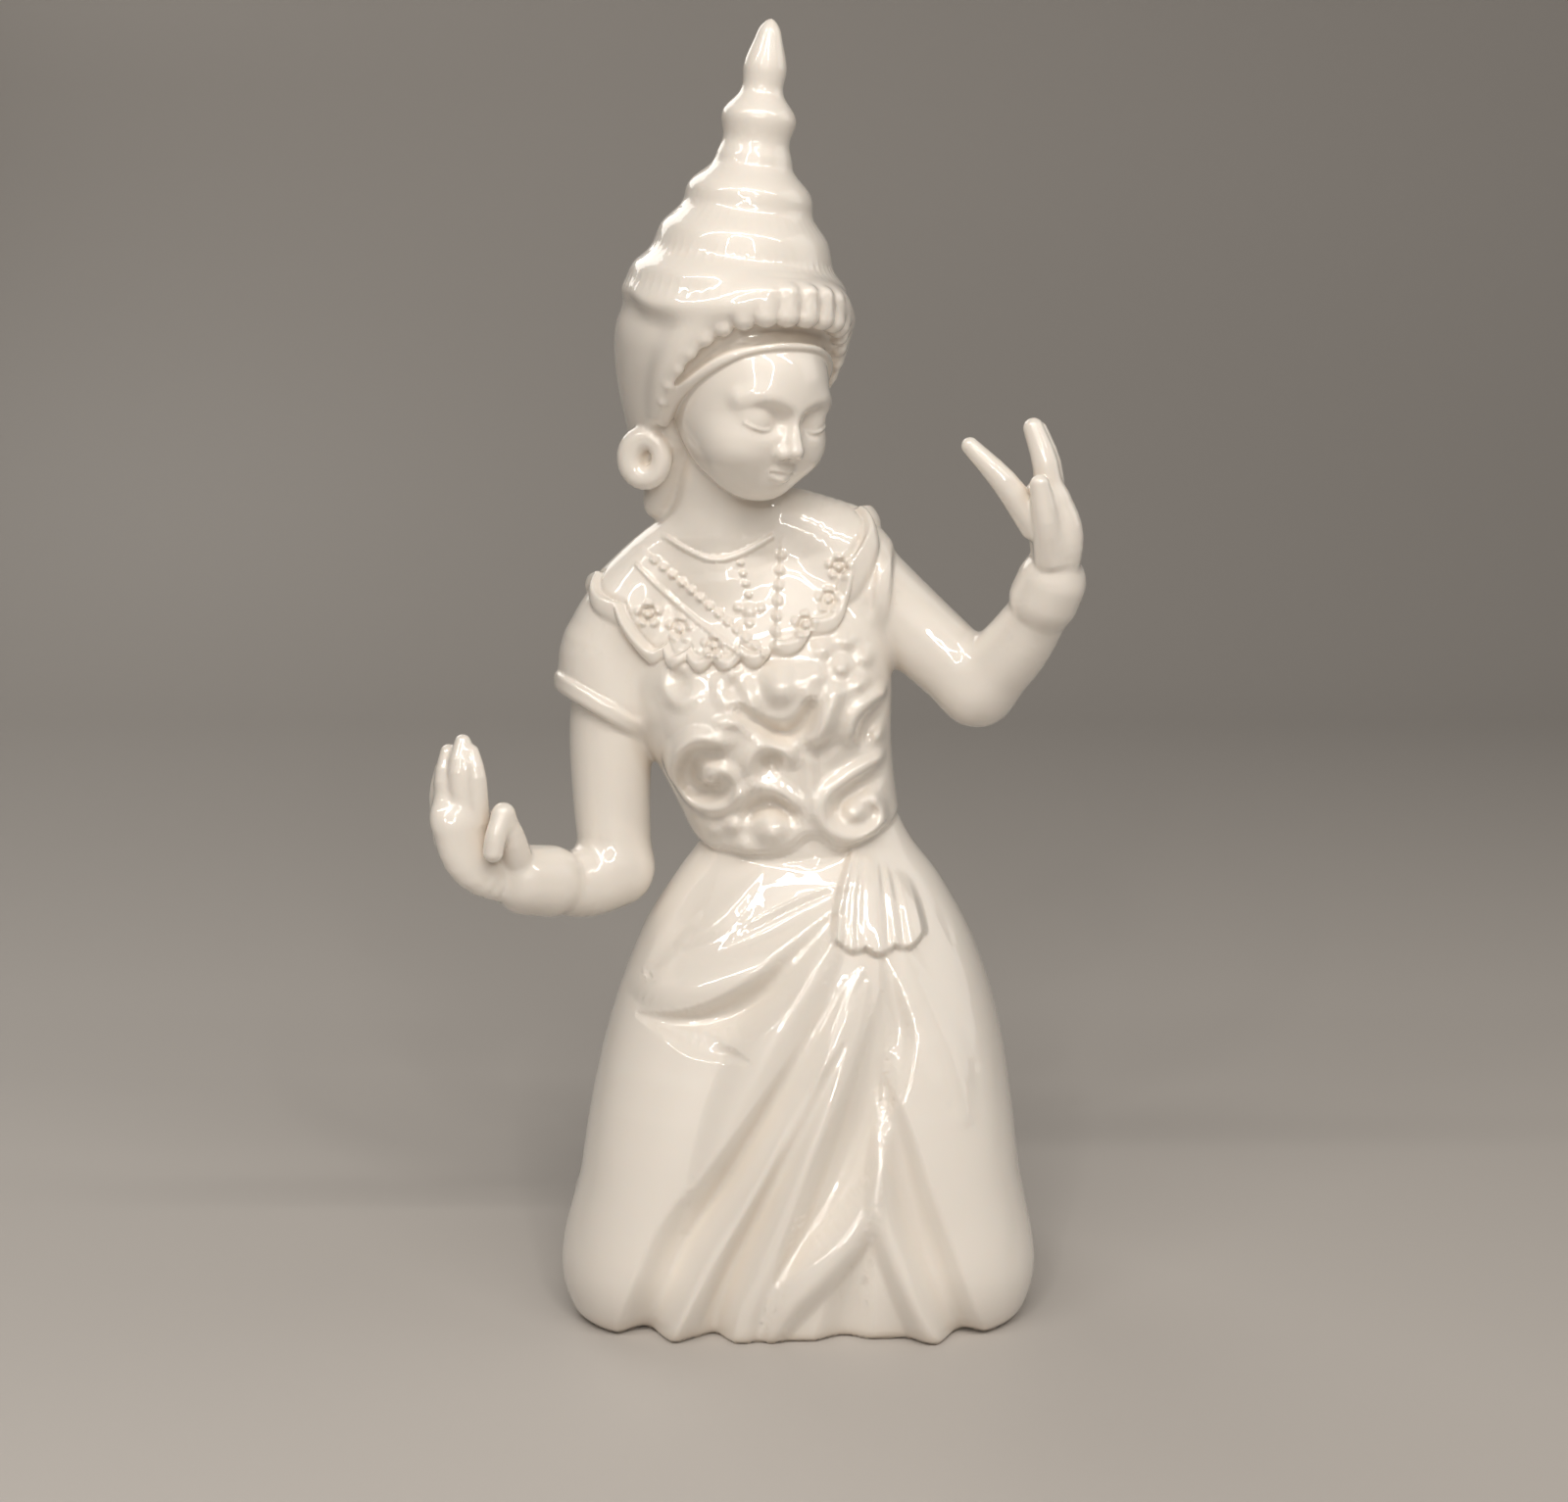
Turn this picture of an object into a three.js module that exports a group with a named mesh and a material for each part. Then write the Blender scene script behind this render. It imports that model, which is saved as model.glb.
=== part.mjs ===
// A glazed porcelain figurine of a kneeling dancer, as one closed solid. Millimetres, +Z up.
// The figure faces -Y and stands on z = 0. Left and right below are the dancer's own sides:
// the right side is at -X.
//
// The figure is described as a distance field: each part of the body is a function that gives
// the distance from a point to its surface, parts melt together with a soft minimum, and the
// carving (folds, scrolls, rings) is a height taken off the distance. The field is then meshed
// and thinned to a set number of triangles.
import * as THREE from "three";

// Driving dimensions
const HEIGHT = 240; // floor to the crown's tip
const TRIANGLES = 9500; // of the finished solid
const CELL = 1.28; // spacing of the grid that the field is sampled on
const GLAZE = new THREE.Color(0.86, 0.81, 0.75);

// Numbers and vectors
const clamp = (v, low, high) => Math.min(Math.max(v, low), high);
const ramp = (v, from, to) => {
  const t = clamp((v - from) / (to - from), 0, 1);
  return t * t * (3 - 2 * t);
};
const degrees = (a) => (a * Math.PI) / 180;
const smoothMin = (a, b, k) => {
  const h = Math.max(k - Math.abs(a - b), 0) / k;
  return Math.min(a, b) - (h * h * k) / 4;
};
const smoothMax = (a, b, k) => -smoothMin(-a, -b, k);
const blend = (k, ...fields) => (x, y, z) => {
  let d = fields[0](x, y, z);
  for (let i = 1; i < fields.length; i++) d = smoothMin(d, fields[i](x, y, z), k);
  return d;
};

// Points of a Catmull-Rom spline through rows of numbers of any length.
function spline(rows, steps) {
  const out = [];
  const row = (i) => {
    if (i < 0) return rows[0].map((v, k) => 2 * v - rows[1][k]);
    const n = rows.length;
    if (i >= n) return rows[n - 1].map((v, k) => 2 * v - rows[n - 2][k]);
    return rows[i];
  };
  for (let i = 0; i < rows.length - 1; i++) {
    const [a, b, c, d] = [row(i - 1), row(i), row(i + 1), row(i + 2)];
    for (let s = 0; s < steps; s++) {
      const t = s / steps;
      out.push(b.map((v, k) => v + 0.5 * t * (c[k] - a[k] +
        t * (2 * a[k] - 5 * v + 4 * c[k] - d[k] + t * (3 * (v - c[k]) + d[k] - a[k])))));
    }
  }
  out.push(rows[rows.length - 1]);
  return out;
}

// Smooth values along a height: rows are [height, value, value ...].
function profile(rows) {
  const slope = (i, k) => {
    const a = rows[Math.max(i - 1, 0)];
    const b = rows[Math.min(i + 1, rows.length - 1)];
    return (b[k] - a[k]) / (b[0] - a[0]);
  };
  return (h) => {
    const last = rows.length - 1;
    const s = clamp(h, rows[0][0], rows[last][0]);
    let i = 0;
    while (i < last - 1 && s > rows[i + 1][0]) i++;
    const step = rows[i + 1][0] - rows[i][0];
    const t = (s - rows[i][0]) / step;
    const out = [];
    for (let k = 1; k < rows[0].length; k++) {
      const a = rows[i][k];
      const b = rows[i + 1][k];
      const ma = slope(i, k) * step;
      const mb = slope(i + 1, k) * step;
      out.push(a + t * (ma + t * (3 * (b - a) - 2 * ma - mb + t * (2 * (a - b) + ma + mb))));
    }
    return out;
  };
}

// Fields
const ball = (cx, cy, cz, r) => (x, y, z) => Math.hypot(x - cx, y - cy, z - cz) - r;

const ellipsoid = (cx, cy, cz, rx, ry, rz) => (x, y, z) => {
  const [a, b, c] = [(x - cx) / rx, (y - cy) / ry, (z - cz) / rz];
  const k = Math.hypot(a, b, c);
  return (k * (k - 1)) / Math.max(Math.hypot(a / rx, b / ry, c / rz), 1e-6);
};

// A round limb through rows of [x, y, z, radius]. With a normal, it is flattened along it.
function limb(rows, { steps = 5, normal = null, flat = 1 } = {}) {
  const n = normal ? new THREE.Vector3(...normal).normalize() : new THREE.Vector3();
  const stretch = 1 / flat - 1;
  const place = (x, y, z) => {
    const s = (x * n.x + y * n.y + z * n.z) * stretch;
    return [x + n.x * s, y + n.y * s, z + n.z * s];
  };
  const nodes = spline(rows, steps).map(([x, y, z, r]) => [...place(x, y, z), r]);
  const centre = [0, 1, 2].map((k) => nodes.reduce((s, p) => s + p[k], 0) / nodes.length);
  const reach = Math.max(...nodes.map((p) =>
    Math.hypot(p[0] - centre[0], p[1] - centre[1], p[2] - centre[2]) + p[3]));
  return (px, py, pz) => {
    const [x, y, z] = normal ? place(px, py, pz) : [px, py, pz];
    const far = Math.hypot(x - centre[0], y - centre[1], z - centre[2]) - reach;
    if (far > 12) return far * flat;
    let best = 1e9;
    for (let i = 0; i < nodes.length - 1; i++) {
      const [a, b] = [nodes[i], nodes[i + 1]];
      const [ux, uy, uz] = [b[0] - a[0], b[1] - a[1], b[2] - a[2]];
      const [vx, vy, vz] = [x - a[0], y - a[1], z - a[2]];
      const t = clamp((ux * vx + uy * vy + uz * vz) / (ux * ux + uy * uy + uz * uz), 0, 1);
      const d = Math.hypot(vx - ux * t, vy - uy * t, vz - uz * t) - (a[3] + (b[3] - a[3]) * t);
      if (d < best) best = d;
    }
    return best * flat;
  };
}

// A rigid frame: origin, yaw about Z, pitch (nose down) and roll, in degrees. It turns a point
// into [side, front, up]: side runs to the dancer's left, front the way the part faces.
function placed(origin, yaw, pitch, roll) {
  const turn = new THREE.Matrix4().makeRotationFromEuler(
    new THREE.Euler(degrees(pitch), degrees(roll), degrees(yaw), "ZYX"));
  const e = turn.elements;
  const side = [e[0], e[1], e[2]];
  const front = [-e[4], -e[5], -e[6]];
  const up = [e[8], e[9], e[10]];
  const dot = (a, x, y, z) => a[0] * x + a[1] * y + a[2] * z;
  return (x, y, z) => {
    const [dx, dy, dz] = [x - origin[0], y - origin[1], z - origin[2]];
    return [dot(side, dx, dy, dz), dot(front, dx, dy, dz), dot(up, dx, dy, dz)];
  };
}

// A column whose cross-section at each height is a rounded box or ellipse. Rows are
// [height, centre x, centre y, half width, half depth, squareness].
function column(rows) {
  const at = profile(rows);
  return (x, y, z) => {
    const [cx, cy, rx, ry, power] = at(z);
    const [dx, dy] = [x - cx, y - cy];
    const rho = Math.hypot(dx, dy);
    const q = (Math.abs(dx / rx) ** power + Math.abs(dy / ry) ** power) ** (1 / power);
    return q < 1e-3 ? -Math.min(rx, ry) : rho - rho / q;
  };
}

// Carving
// A stroke is drawn on the front view: rows are [across, up, half width], and its height is
// positive for a ridge and negative for a groove. Level strokes have a flat top, and strokes
// that fade are lower where they are narrower.
function stroke(height, rows, { steps = 5, level = false, wide = 1, fade = false } = {}) {
  const nodes = spline(rows, steps).map(([x, z, w]) => [x, z, w * wide]);
  const pad = Math.max(...nodes.map((p) => p[2]));
  const [x0, x1] = [Math.min(...nodes.map((p) => p[0])) - pad, Math.max(...nodes.map((p) => p[0])) + pad];
  const [z0, z1] = [Math.min(...nodes.map((p) => p[1])) - pad, Math.max(...nodes.map((p) => p[1])) + pad];
  return (x, z) => {
    if (x < x0 || x > x1 || z < z0 || z > z1) return 0;
    let best = 1;
    let width = pad;
    for (let i = 0; i < nodes.length - 1; i++) {
      const [a, b] = [nodes[i], nodes[i + 1]];
      const [ux, uz, vx, vz] = [b[0] - a[0], b[1] - a[1], x - a[0], z - a[1]];
      const t = clamp((ux * vx + uz * vz) / (ux * ux + uz * uz), 0, 1);
      const w = Math.max(a[2] + (b[2] - a[2]) * t, 0.05);
      const d = Math.hypot(vx - ux * t, vz - uz * t) / w;
      if (d >= best) continue;
      best = d;
      width = w;
    }
    const share = fade ? (width / pad) ** 1.5 : 1;
    return height * share * (level ? 1 - ramp(best, 0.72, 1) : (1 - best * best) ** 2);
  };
}
const carved = (depth, strokes) => (x, z) => {
  let h = 0;
  for (const s of strokes) h += s(x, z);
  return depth * h;
};
const boss = (height, x, z, r) => stroke(height, [[x - 0.1, z, r], [x + 0.1, z, r]], { steps: 1 });
const leaf = (height, x0, z0, x1, z1, w) => stroke(height,
  [[x0, z0, w * 0.6], [(x0 + x1) / 2, (z0 + z1) / 2, w], [x1, z1, w * 0.6]], { steps: 3 });
function ring(height, x, z, radius, width) {
  const rows = [...Array(13)].map((_, i) => {
    const a = degrees(30 * i);
    return [x + radius * Math.cos(a), z + radius * Math.sin(a), width];
  });
  return stroke(height, rows, { steps: 2 });
}
// A round flower: a heart, a groove round it and petals.
function rosette(height, x, z, petals, radius, size) {
  const outer = [...Array(petals)].map((_, i) => {
    const a = degrees((360 * i) / petals + 17);
    return boss(height, x + radius * Math.cos(a), z + radius * Math.sin(a), size);
  });
  return [boss(height, x, z, size), ring(-0.8, x, z, radius * 0.6, 0.9), ...outer];
}

// Skirt: the cloth over hips, thighs and calves
const SKIRT = [
  // height, centre x, centre y, half width, half depth, squareness
  [-4, 0.6, 2, 38.5, 39.5, 2.5],
  [10, 1, 2, 41, 39.5, 2.5],
  [24, 1.2, 1.5, 41.4, 36.5, 2.4],
  [38, 1.3, 1.5, 40.2, 33, 2.3],
  [54, 1.6, 2, 37.2, 28.5, 2.2],
  [68, 1.8, 3, 32.3, 24.5, 2.1],
  [80, 1.8, 3.6, 25.6, 18, 2],
  [87, 1.6, 4, 20.4, 14, 2],
  [95, 1.5, 4, 16.5, 11.5, 2],
];
const legs = [-1, 1].map((side) => blend(7,
  limb([[side * 13.5, 3, 62, 15.5], [side * 21.8, -11, 38, 17], [side * 27, -21.5, 9, 16.6]]),
  limb([[side * 29, -16, 11, 14.4], [side * 31.4, 6, 12, 13.2], [side * 28, 30, 9, 10.5]]),
));
const seat = ellipsoid(0.5, 19, 50, 27, 16, 24);
// The front fan: a roll of cloth is drawn across from the left hip to the sash, and long folds
// run down from the sash to the hem. Each fades in and out: its end rows are narrow ones.
const fold = (height, rows) => stroke(height, rows, { wide: 1.25, fade: true });
const frontFolds = carved(0.95, [
  fold(-1.1, [[9, 80, 0.6], [6, 79, 1.6], [-0.4, 76, 2.4], [-8, 72, 2.6], [-14.7, 69, 0.6]]),
  fold(1.8, [[8.3, 74.5, 1.2], [4, 72, 3], [-3.3, 68.1, 4.2], [-14.7, 63.8, 5], [-25, 61.7, 4],
    [-33, 61, 1.4]]),
  fold(-3.6, [[8, 76.5, 0.6], [4, 72.4, 2.2], [-1.1, 67.6, 3.2], [-5.9, 62.4, 4], [-14, 57.3, 4],
    [-22, 55.8, 2.6], [-30, 56.5, 0.8]]),
  fold(-1.1, [[-15.6, 84, 0.8], [-18.6, 78.4, 1.8], [-23, 71.6, 2.4], [-28.5, 64, 1]]),
  fold(0.8, [[-7, 83, 0.8], [-11.4, 78.4, 2], [-16.6, 73.6, 2.4], [-23, 69, 0.9]]),
  fold(-1, [[-26, 55, 0.5], [-21, 53, 1.6], [-15, 52, 1.8], [-9, 50.8, 0.5]]),
  fold(2.6, [[8.5, 73, 1], [5, 69, 3], [0.5, 63, 4.4], [-5, 54.5, 5.2], [-10.4, 44.5, 5], [-15.4, 32.5, 4],
    [-21, 20, 1.2]]),
  fold(-4.2, [[8, 63, 0.6], [4, 56, 2], [-0.4, 47.4, 3.2], [-7.6, 36.5, 4], [-14.2, 27.4, 4.6],
    [-21.2, 17.8, 5], [-27.2, 5, 4.8], [-29, -3, 4.6]]),
  fold(2.4, [[11.6, 66, 1], [8, 59.4, 2.6], [3.4, 51.6, 3.6], [-3.3, 38.6, 3.8], [-9.6, 27.4, 3.8],
    [-17, 15.2, 3.8], [-22.6, 3, 3.8], [-24.2, -3, 3.6]]),
  fold(-2, [[8.4, 54, 0.6], [4, 45.6, 2], [-1.4, 34.7, 2.6], [-8, 21.6, 3], [-14, 8, 3], [-16, -3, 3]]),
  fold(2.4, [[12.6, 64, 1], [10.4, 57, 2.8], [7.1, 49.2, 3.6], [2.4, 37, 4.2], [-1.4, 26.4, 4.2], [-6, 15, 4],
    [-10, 5, 3.8], [-11.4, -3, 3.6]]),
  fold(-4.4, [[15.5, 62, 0.6], [14.8, 54, 2.6], [12.8, 43.2, 4.6], [8.6, 32.2, 5.4], [4.3, 23.8, 4.6],
    [-0.8, 17, 2.6], [-4, 12, 0.8]]),
  fold(3, [[14.6, 32, 0.8], [13, 26.8, 2.6], [10, 21, 3.8], [4.5, 15, 4.4], [-1, 9, 4.2], [-4.4, 3, 3],
    [-6, -2, 1.6]]),
  fold(2.8, [[14.4, 38, 0.8], [14.8, 31, 2.4], [16, 21.5, 3.2], [19.8, 12, 3.6], [24.7, 0.6, 3.8],
    [26, -3, 3.6]]),
  fold(-3.4, [[15.8, 47, 0.6], [17.6, 39, 2.6], [20.6, 26, 3.8], [25, 13.5, 4.2], [30.6, 0, 3.6], [32, -3, 3]]),
  fold(-2.8, [[12.6, 18, 0.8], [11, 13, 2.6], [9.4, 7.6, 3.8], [8.2, 0, 4.6], [8.2, -3, 4.8]]),
  fold(-1.8, [[15.8, 69, 0.6], [17.2, 62, 2], [18.4, 54, 3], [17, 45, 2.6], [15.5, 40, 0.8]]),
  fold(0.8, [[19, 70, 1], [23, 60, 3.6], [28, 50, 4.2], [31, 40, 2]]),
  fold(-1.1, [[23.6, 88, 0.5], [25, 82, 1.4], [27.6, 76, 1.8], [29.6, 69, 0.5]]),
  fold(-1, [[-22.4, 84, 0.5], [-24.2, 79.4, 1.4], [-26.8, 74.8, 1.7], [-30, 69.6, 0.5]]),
]);
// Plain folds of the back fall from the waist.
const backFolds = carved(0.8, [-27, -17, -6, 5, 16, 27].map((x, i) =>
  stroke(i % 2 ? 1.5 : -1.4, [[x * 0.35, 84, 1.8], [x * 0.8, 55, 4], [x, 26, 4.8], [x * 1.1, -4, 4.6]])));
const skirtColumn = column(SKIRT);
function skirt(x, y, z) {
  if (z > 110) return z - 94;
  let d = smoothMin(skirtColumn(x, y, z), seat(x, y, z), 8);
  d = smoothMin(d, smoothMin(legs[0](x, y, z), legs[1](x, y, z), 8), 6);
  d -= frontFolds(x, z) * ramp(-y, 4, 16) + backFolds(x, z) * ramp(y, 6, 18);
  return smoothMax(smoothMax(d, z - 94, 3), -z - 0.3, 2.5);
}
// The soles show behind, under the hem, with the toes side by side.
const TOES = 5;
const feet = [-1, 1].map((side) => blend(1.2,
  limb([[side * 17, 34, 7.5, 7], [side * 16.5, 43, 6.5, 6.4], [side * 16, 50, 5, 5.2]],
    { normal: [0, 0.25, 1], flat: 0.75 }),
  ...[...Array(TOES)].map((_, i) => ball(side * (12.4 + 2.3 * i), 53 - 0.5 * i, 3.6, 1.9 - 0.12 * i))));

// Torso, in a frame that leans towards the dancer's right
const TORSO_LEAN = 14.5;
const torsoFrame = placed([1.5, 4, 84], 0, 0, -TORSO_LEAN);
const torsoColumn = column([
  [-2, 0, 0, 19.4, 16.8, 2.1],
  [8, 0, 0, 20.2, 16.6, 2.1],
  [18, 0, 0.5, 21.8, 16.2, 2.2],
  [30, 0.3, 1, 24.5, 17, 2.3],
  [41, 1, 0.5, 25, 15, 2.4],
  [50, 2.6, -1, 23, 11.5, 2.2],
  [57, 2.4, -2, 15.5, 9, 2],
  [63, 1, -2, 9, 7, 2],
]);
const bust = blend(4, ...[-1, 1].map((side) => ellipsoid(side * 9.5, 12.5, 29.5, 9, 6.2, 7.5)));
const bodiceHem = (x, y, z) => (z - 83.2 - 0.0135 * (x + 4.5) ** 2 - 0.05 * (y + 17)) * 0.9;
// Flowers, leaves and scrolls of the bodice, from the collar down
const bodiceRelief = carved(0.85, [
  boss(1.4, -22.4, 122.6, 2.3),
  boss(-1.1, -22.2, 119.6, 1.8),
  stroke(1.1, [[-25.2, 121.4, 1.1], [-25.4, 117.8, 1.5], [-22, 115.4, 1.6], [-19.2, 117.6, 1.3]]),
  boss(1.4, -12.5, 121.4, 2.3),
  boss(-1, -12.2, 118.4, 1.5),
  stroke(0.9, [[-14.8, 119.4, 1.1], [-14.2, 116.2, 1.4], [-11, 115.6, 1.1]]),
  boss(2.5, -3.5, 119, 4.8),
  leaf(1.5, -9.8, 119, -8, 114.6, 2.2),
  leaf(1.3, 1, 121.2, 2, 116.8, 2),
  stroke(-2.5, [[-11.5, 114.4, 1], [-7.4, 111.4, 2], [-2.6, 109.8, 2.7], [0.8, 112, 2.4], [2.6, 115.6, 1.2]]),
  leaf(1.9, 6.4, 116.2, 3.4, 108.8, 2.6),
  stroke(-1.2, [[1.2, 107.4, 1], [3.6, 106.2, 1.5], [6.4, 107.8, 1.2]]),
  ...rosette(1.5, 8, 122.4, 6, 4.6, 2.1),
  stroke(1.4, [[18.8, 117.2, 1.2], [14.4, 116.4, 1.9], [10.6, 113.4, 1.9], [9.8, 109, 1.4]]),
  stroke(-2, [[18.6, 114, 1.1], [15.8, 113, 2], [13.1, 111, 2.2], [12.2, 108, 1.5]]),
  boss(1.3, 15.8, 108.4, 2.4),
  stroke(2, [[-13.6, 108.8, 1.3], [-19.3, 109.4, 1.8], [-23.6, 105.4, 1.9], [-24.2, 100.4, 1.9],
    [-21.4, 96.2, 1.9], [-16.6, 94.9, 1.8], [-12.6, 96.6, 1.7], [-11.4, 99.8, 1.6],
    [-13.3, 102.8, 1.6], [-16, 102.6, 1.4], [-16.6, 101, 1.3]]),
  stroke(-2, [[-14.8, 106.2, 1.2], [-19.3, 105.4, 2], [-20.5, 101, 2], [-18.4, 98.4, 1.6], [-15.6, 98.6, 1.2]]),
  stroke(1.4, [[-15, 111.6, 1.2], [-10.8, 112.8, 1.9], [-6.6, 109.8, 1.6]]),
  stroke(1.6, [[-8.6, 100.6, 1.2], [-9.6, 104.2, 1.9], [-7, 107.8, 2], [-3, 107.4, 1.6], [-1.4, 104.6, 1.2]]),
  boss(-1.8, -5, 104.4, 2.3),
  stroke(1.5, [[-11.4, 97.4, 1.3], [-8, 99.8, 1.8], [-4, 99.4, 1.9], [0, 96.6, 1.5]]),
  stroke(-2.3, [[-9.6, 93.8, 1.2], [-7, 95.9, 1.8], [-4, 96, 1.8], [-0.8, 93.6, 1.1]]),
  boss(2.1, -5, 91.2, 3.6),
  boss(1.6, -12.6, 92, 2.3),
  boss(1.4, -10.4, 88.2, 2),
  boss(1.2, -16, 90.6, 1.7),
  stroke(1.1, [[1.9, 107, 1], [2.2, 100, 1.4], [2.2, 94, 1.2]]),
  stroke(1.8, [[18.6, 105, 1.3], [14, 103.8, 1.9], [9, 101.2, 2.1], [5, 98, 2], [4.4, 94, 1.9], [7, 90.8, 1.8],
    [11.4, 89.8, 1.7], [15.4, 91.4, 1.6], [16.4, 94.4, 1.5], [14, 96.8, 1.4]]),
  stroke(-1.9, [[18.8, 101.6, 1], [14.2, 100.2, 1.7], [10.2, 98, 1.7], [7.8, 96.4, 1.5], [7.4, 94, 1.3]]),
  boss(1.5, 11, 94.2, 2.3),
  stroke(-1.3, [[-15, 85.4, 1.4], [-10, 84.6, 1.8], [-4.6, 84.6, 2.4], [0, 85.8, 2.9], [2.8, 87.6, 3.2],
    [5, 86.6, 2.6], [9, 86, 2], [14, 87.6, 1.8], [19.5, 91.4, 1.4]], { level: true }),
]);
function bodice(x, y, z) {
  if (z > 165 || z < 66) return 20;
  const [u, v, w] = torsoFrame(x, y, z);
  let d = smoothMin(torsoColumn(u, v, w), bust(u, v, w), 6);
  d -= bodiceRelief(x, z) * ramp(-y, 2, 9);
  return smoothMax(smoothMax(d, -bodiceHem(x, y, z), 2), w - 62, 3);
}

// Shoulders, arms and sleeves
const shoulders = blend(5,
  limb([[-12, 5, 149, 6], [-24, 5, 140.5, 7], [-34, 4.5, 130, 8]]),
  limb([[-12, 5, 150, 6], [0, 5, 146.2, 7], [9, 5, 142, 8.4]]));
const rightArm = blend(2.5,
  limb([[-33, 4.5, 124, 9], [-36, 4, 110, 8.2], [-36.2, 3, 96, 7.6], [-35.4, 1, 83, 7]]),
  limb([[-35.2, 1, 80.8, 7], [-41, -3, 79.4, 6.8], [-47, -7, 79.8, 5.6]]));
const rightSleeve = limb([[-31, 4.5, 128.6, 8.4], [-36.4, 4.8, 123.6, 9.4], [-36.2, 4.5, 114, 10]]);
const leftArm = blend(2.5,
  limb([[11, 5, 138, 8.6], [21, 4, 129, 8], [34.4, 1, 117, 7.4]]),
  limb([[34.4, 1, 117, 7.2], [41, -4, 125, 6.6], [46.2, -9, 134, 5.4]]));
const leftSleeve = limb([[8, 4.5, 139, 8.6], [13, 4.5, 135.4, 9.6]]);
// The sleeve hems are cut by planes: a point on the plane, and the way the arm leaves.
const cut = (px, py, pz, nx, ny, nz) => {
  const n = new THREE.Vector3(nx, ny, nz).normalize();
  return (x, y, z) => (x - px) * n.x + (y - py) * n.y + (z - pz) * n.z;
};
const rightHem = cut(-38, 4, 110.6, -0.5, -0.15, -0.82);
const leftHem = cut(17.4, 4, 137, 0.98, 0, -0.06);
const band = (d, hem, width) => Math.max(d - 0.8, Math.abs(hem + width) - width);
function sleeves(x, y, z) {
  const r = rightSleeve(x, y, z);
  const l = leftSleeve(x, y, z);
  const [hr, hl] = [rightHem(x, y, z), leftHem(x, y, z)];
  return Math.min(
    smoothMin(smoothMax(r, hr, 1.2), band(r, hr, 1.3), 0.8),
    smoothMin(smoothMax(l, hl, 1.2), band(l, hl, 1.3), 0.8));
}
const bangles = [
  limb([[-47.6, -8.2, 80.7, 6.9], [-51.6, -10.7, 81.5, 6.7]], { steps: 3 }),
  limb([[45.9, -9.8, 135, 6.6], [47, -11, 138, 6.5]], { steps: 3 }),
];

// Hands: a flat palm, four fingers grown together, and a thumb
const finger = (rows) => limb(rows, { steps: 3 });
const rightHand = blend(1.8,
  limb([[-53, -12, 81.5, 4.8], [-60, -15, 86.5, 6.6], [-63, -16, 94, 6.2]],
    { normal: [0.5, -0.75, 0.4], flat: 0.6 }),
  finger([[-60, -16.4, 94, 2.4], [-60, -16.8, 102, 2], [-61, -15.4, 106.6, 1.6]]),
  finger([[-62.4, -16.4, 94, 2.4], [-63.2, -16.6, 103, 2.1], [-62.6, -14.6, 108.4, 1.6]]),
  finger([[-65, -15.8, 92, 2.3], [-66, -15.6, 101, 2], [-65.4, -13.6, 106.4, 1.6]]),
  finger([[-66.4, -14.6, 90, 2.1], [-67.4, -14, 98, 1.8], [-66.8, -12.4, 103, 1.5]]));
const rightThumb = blend(1.2,
  finger([[-52.6, -13.4, 84, 3], [-53.4, -16.6, 90, 2.7], [-54.8, -18.4, 95.4, 2]]),
  finger([[-54.8, -18.6, 95.6, 2], [-56, -20.4, 92, 2], [-56.6, -20.8, 88.8, 1.9]]));
const leftHand = blend(1.8,
  limb([[47.4, -12, 140, 4.8], [47.4, -14, 147, 5.8], [45.6, -14.4, 152.5, 5.4]],
    { normal: [0.75, 0.6, 0.15], flat: 0.72 }),
  finger([[46, -16, 152, 2.6], [45, -16.2, 160, 2.4], [42.8, -15.2, 166.6, 1.9]]),
  finger([[47, -13, 152, 2.5], [46, -12.8, 160, 2.3], [44, -11.8, 166, 1.8]]),
  finger([[48, -10, 150, 2.3], [47, -9.4, 157, 2], [45, -8.4, 162.4, 1.6]]),
  finger([[43.4, -15.4, 149, 3], [37.4, -16.8, 157, 2.4], [31.2, -16, 163.4, 1.6]]));
const leftThumb = finger([[46.4, -15.4, 143, 3.2], [45, -18.8, 150, 2.5], [43.6, -20, 156.6, 1.8]]);
function arms(x, y, z) {
  let d = Math.min(rightArm(x, y, z), leftArm(x, y, z));
  d = smoothMin(d, sleeves(x, y, z), 0.8);
  d = smoothMin(d, Math.min(rightHand(x, y, z), leftHand(x, y, z)), 1.5);
  d = smoothMin(d, Math.min(rightThumb(x, y, z), leftThumb(x, y, z)), 1);
  return smoothMin(d, Math.min(bangles[0](x, y, z), bangles[1](x, y, z)), 0.8);
}

// Head, in a frame that looks to the dancer's left and down
const HEAD = placed([-13, 0, 170], 36, 10, 3);
const face = blend(3,
  ellipsoid(0, 4.5, 5, 14, 17.8, 16),
  ellipsoid(0, 8.3, -2.8, 12.4, 12.4, 11.2),
  ellipsoid(0, 11.4, -9.4, 6.8, 7.3, 5.6));
const cheeks = [-1, 1].map((side) => ellipsoid(side * 6.2, 12.8, -4.2, 5.8, 6.3, 5.4));
const nose = limb([[0, 20.2, 5, 1.1], [0, 20.9, 1.4, 1.1], [0, 21.9, -1.8, 1.4], [0, 22.2, -4, 2]]);
const sockets = [-1, 1].map((side) => ellipsoid(side * 5.6, 21.9, 1.3, 4.2, 2.9, 2.7));
const lips = blend(0.8, limb([[-2.9, 18.3, -8.1, 0.6], [0, 19.9, -7.9, 0.9], [2.9, 18.3, -8.1, 0.6]]),
  limb([[-2.4, 18.3, -8.8, 0.6], [0, 19.5, -9.35, 1], [2.4, 18.3, -8.8, 0.6]]));

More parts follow.
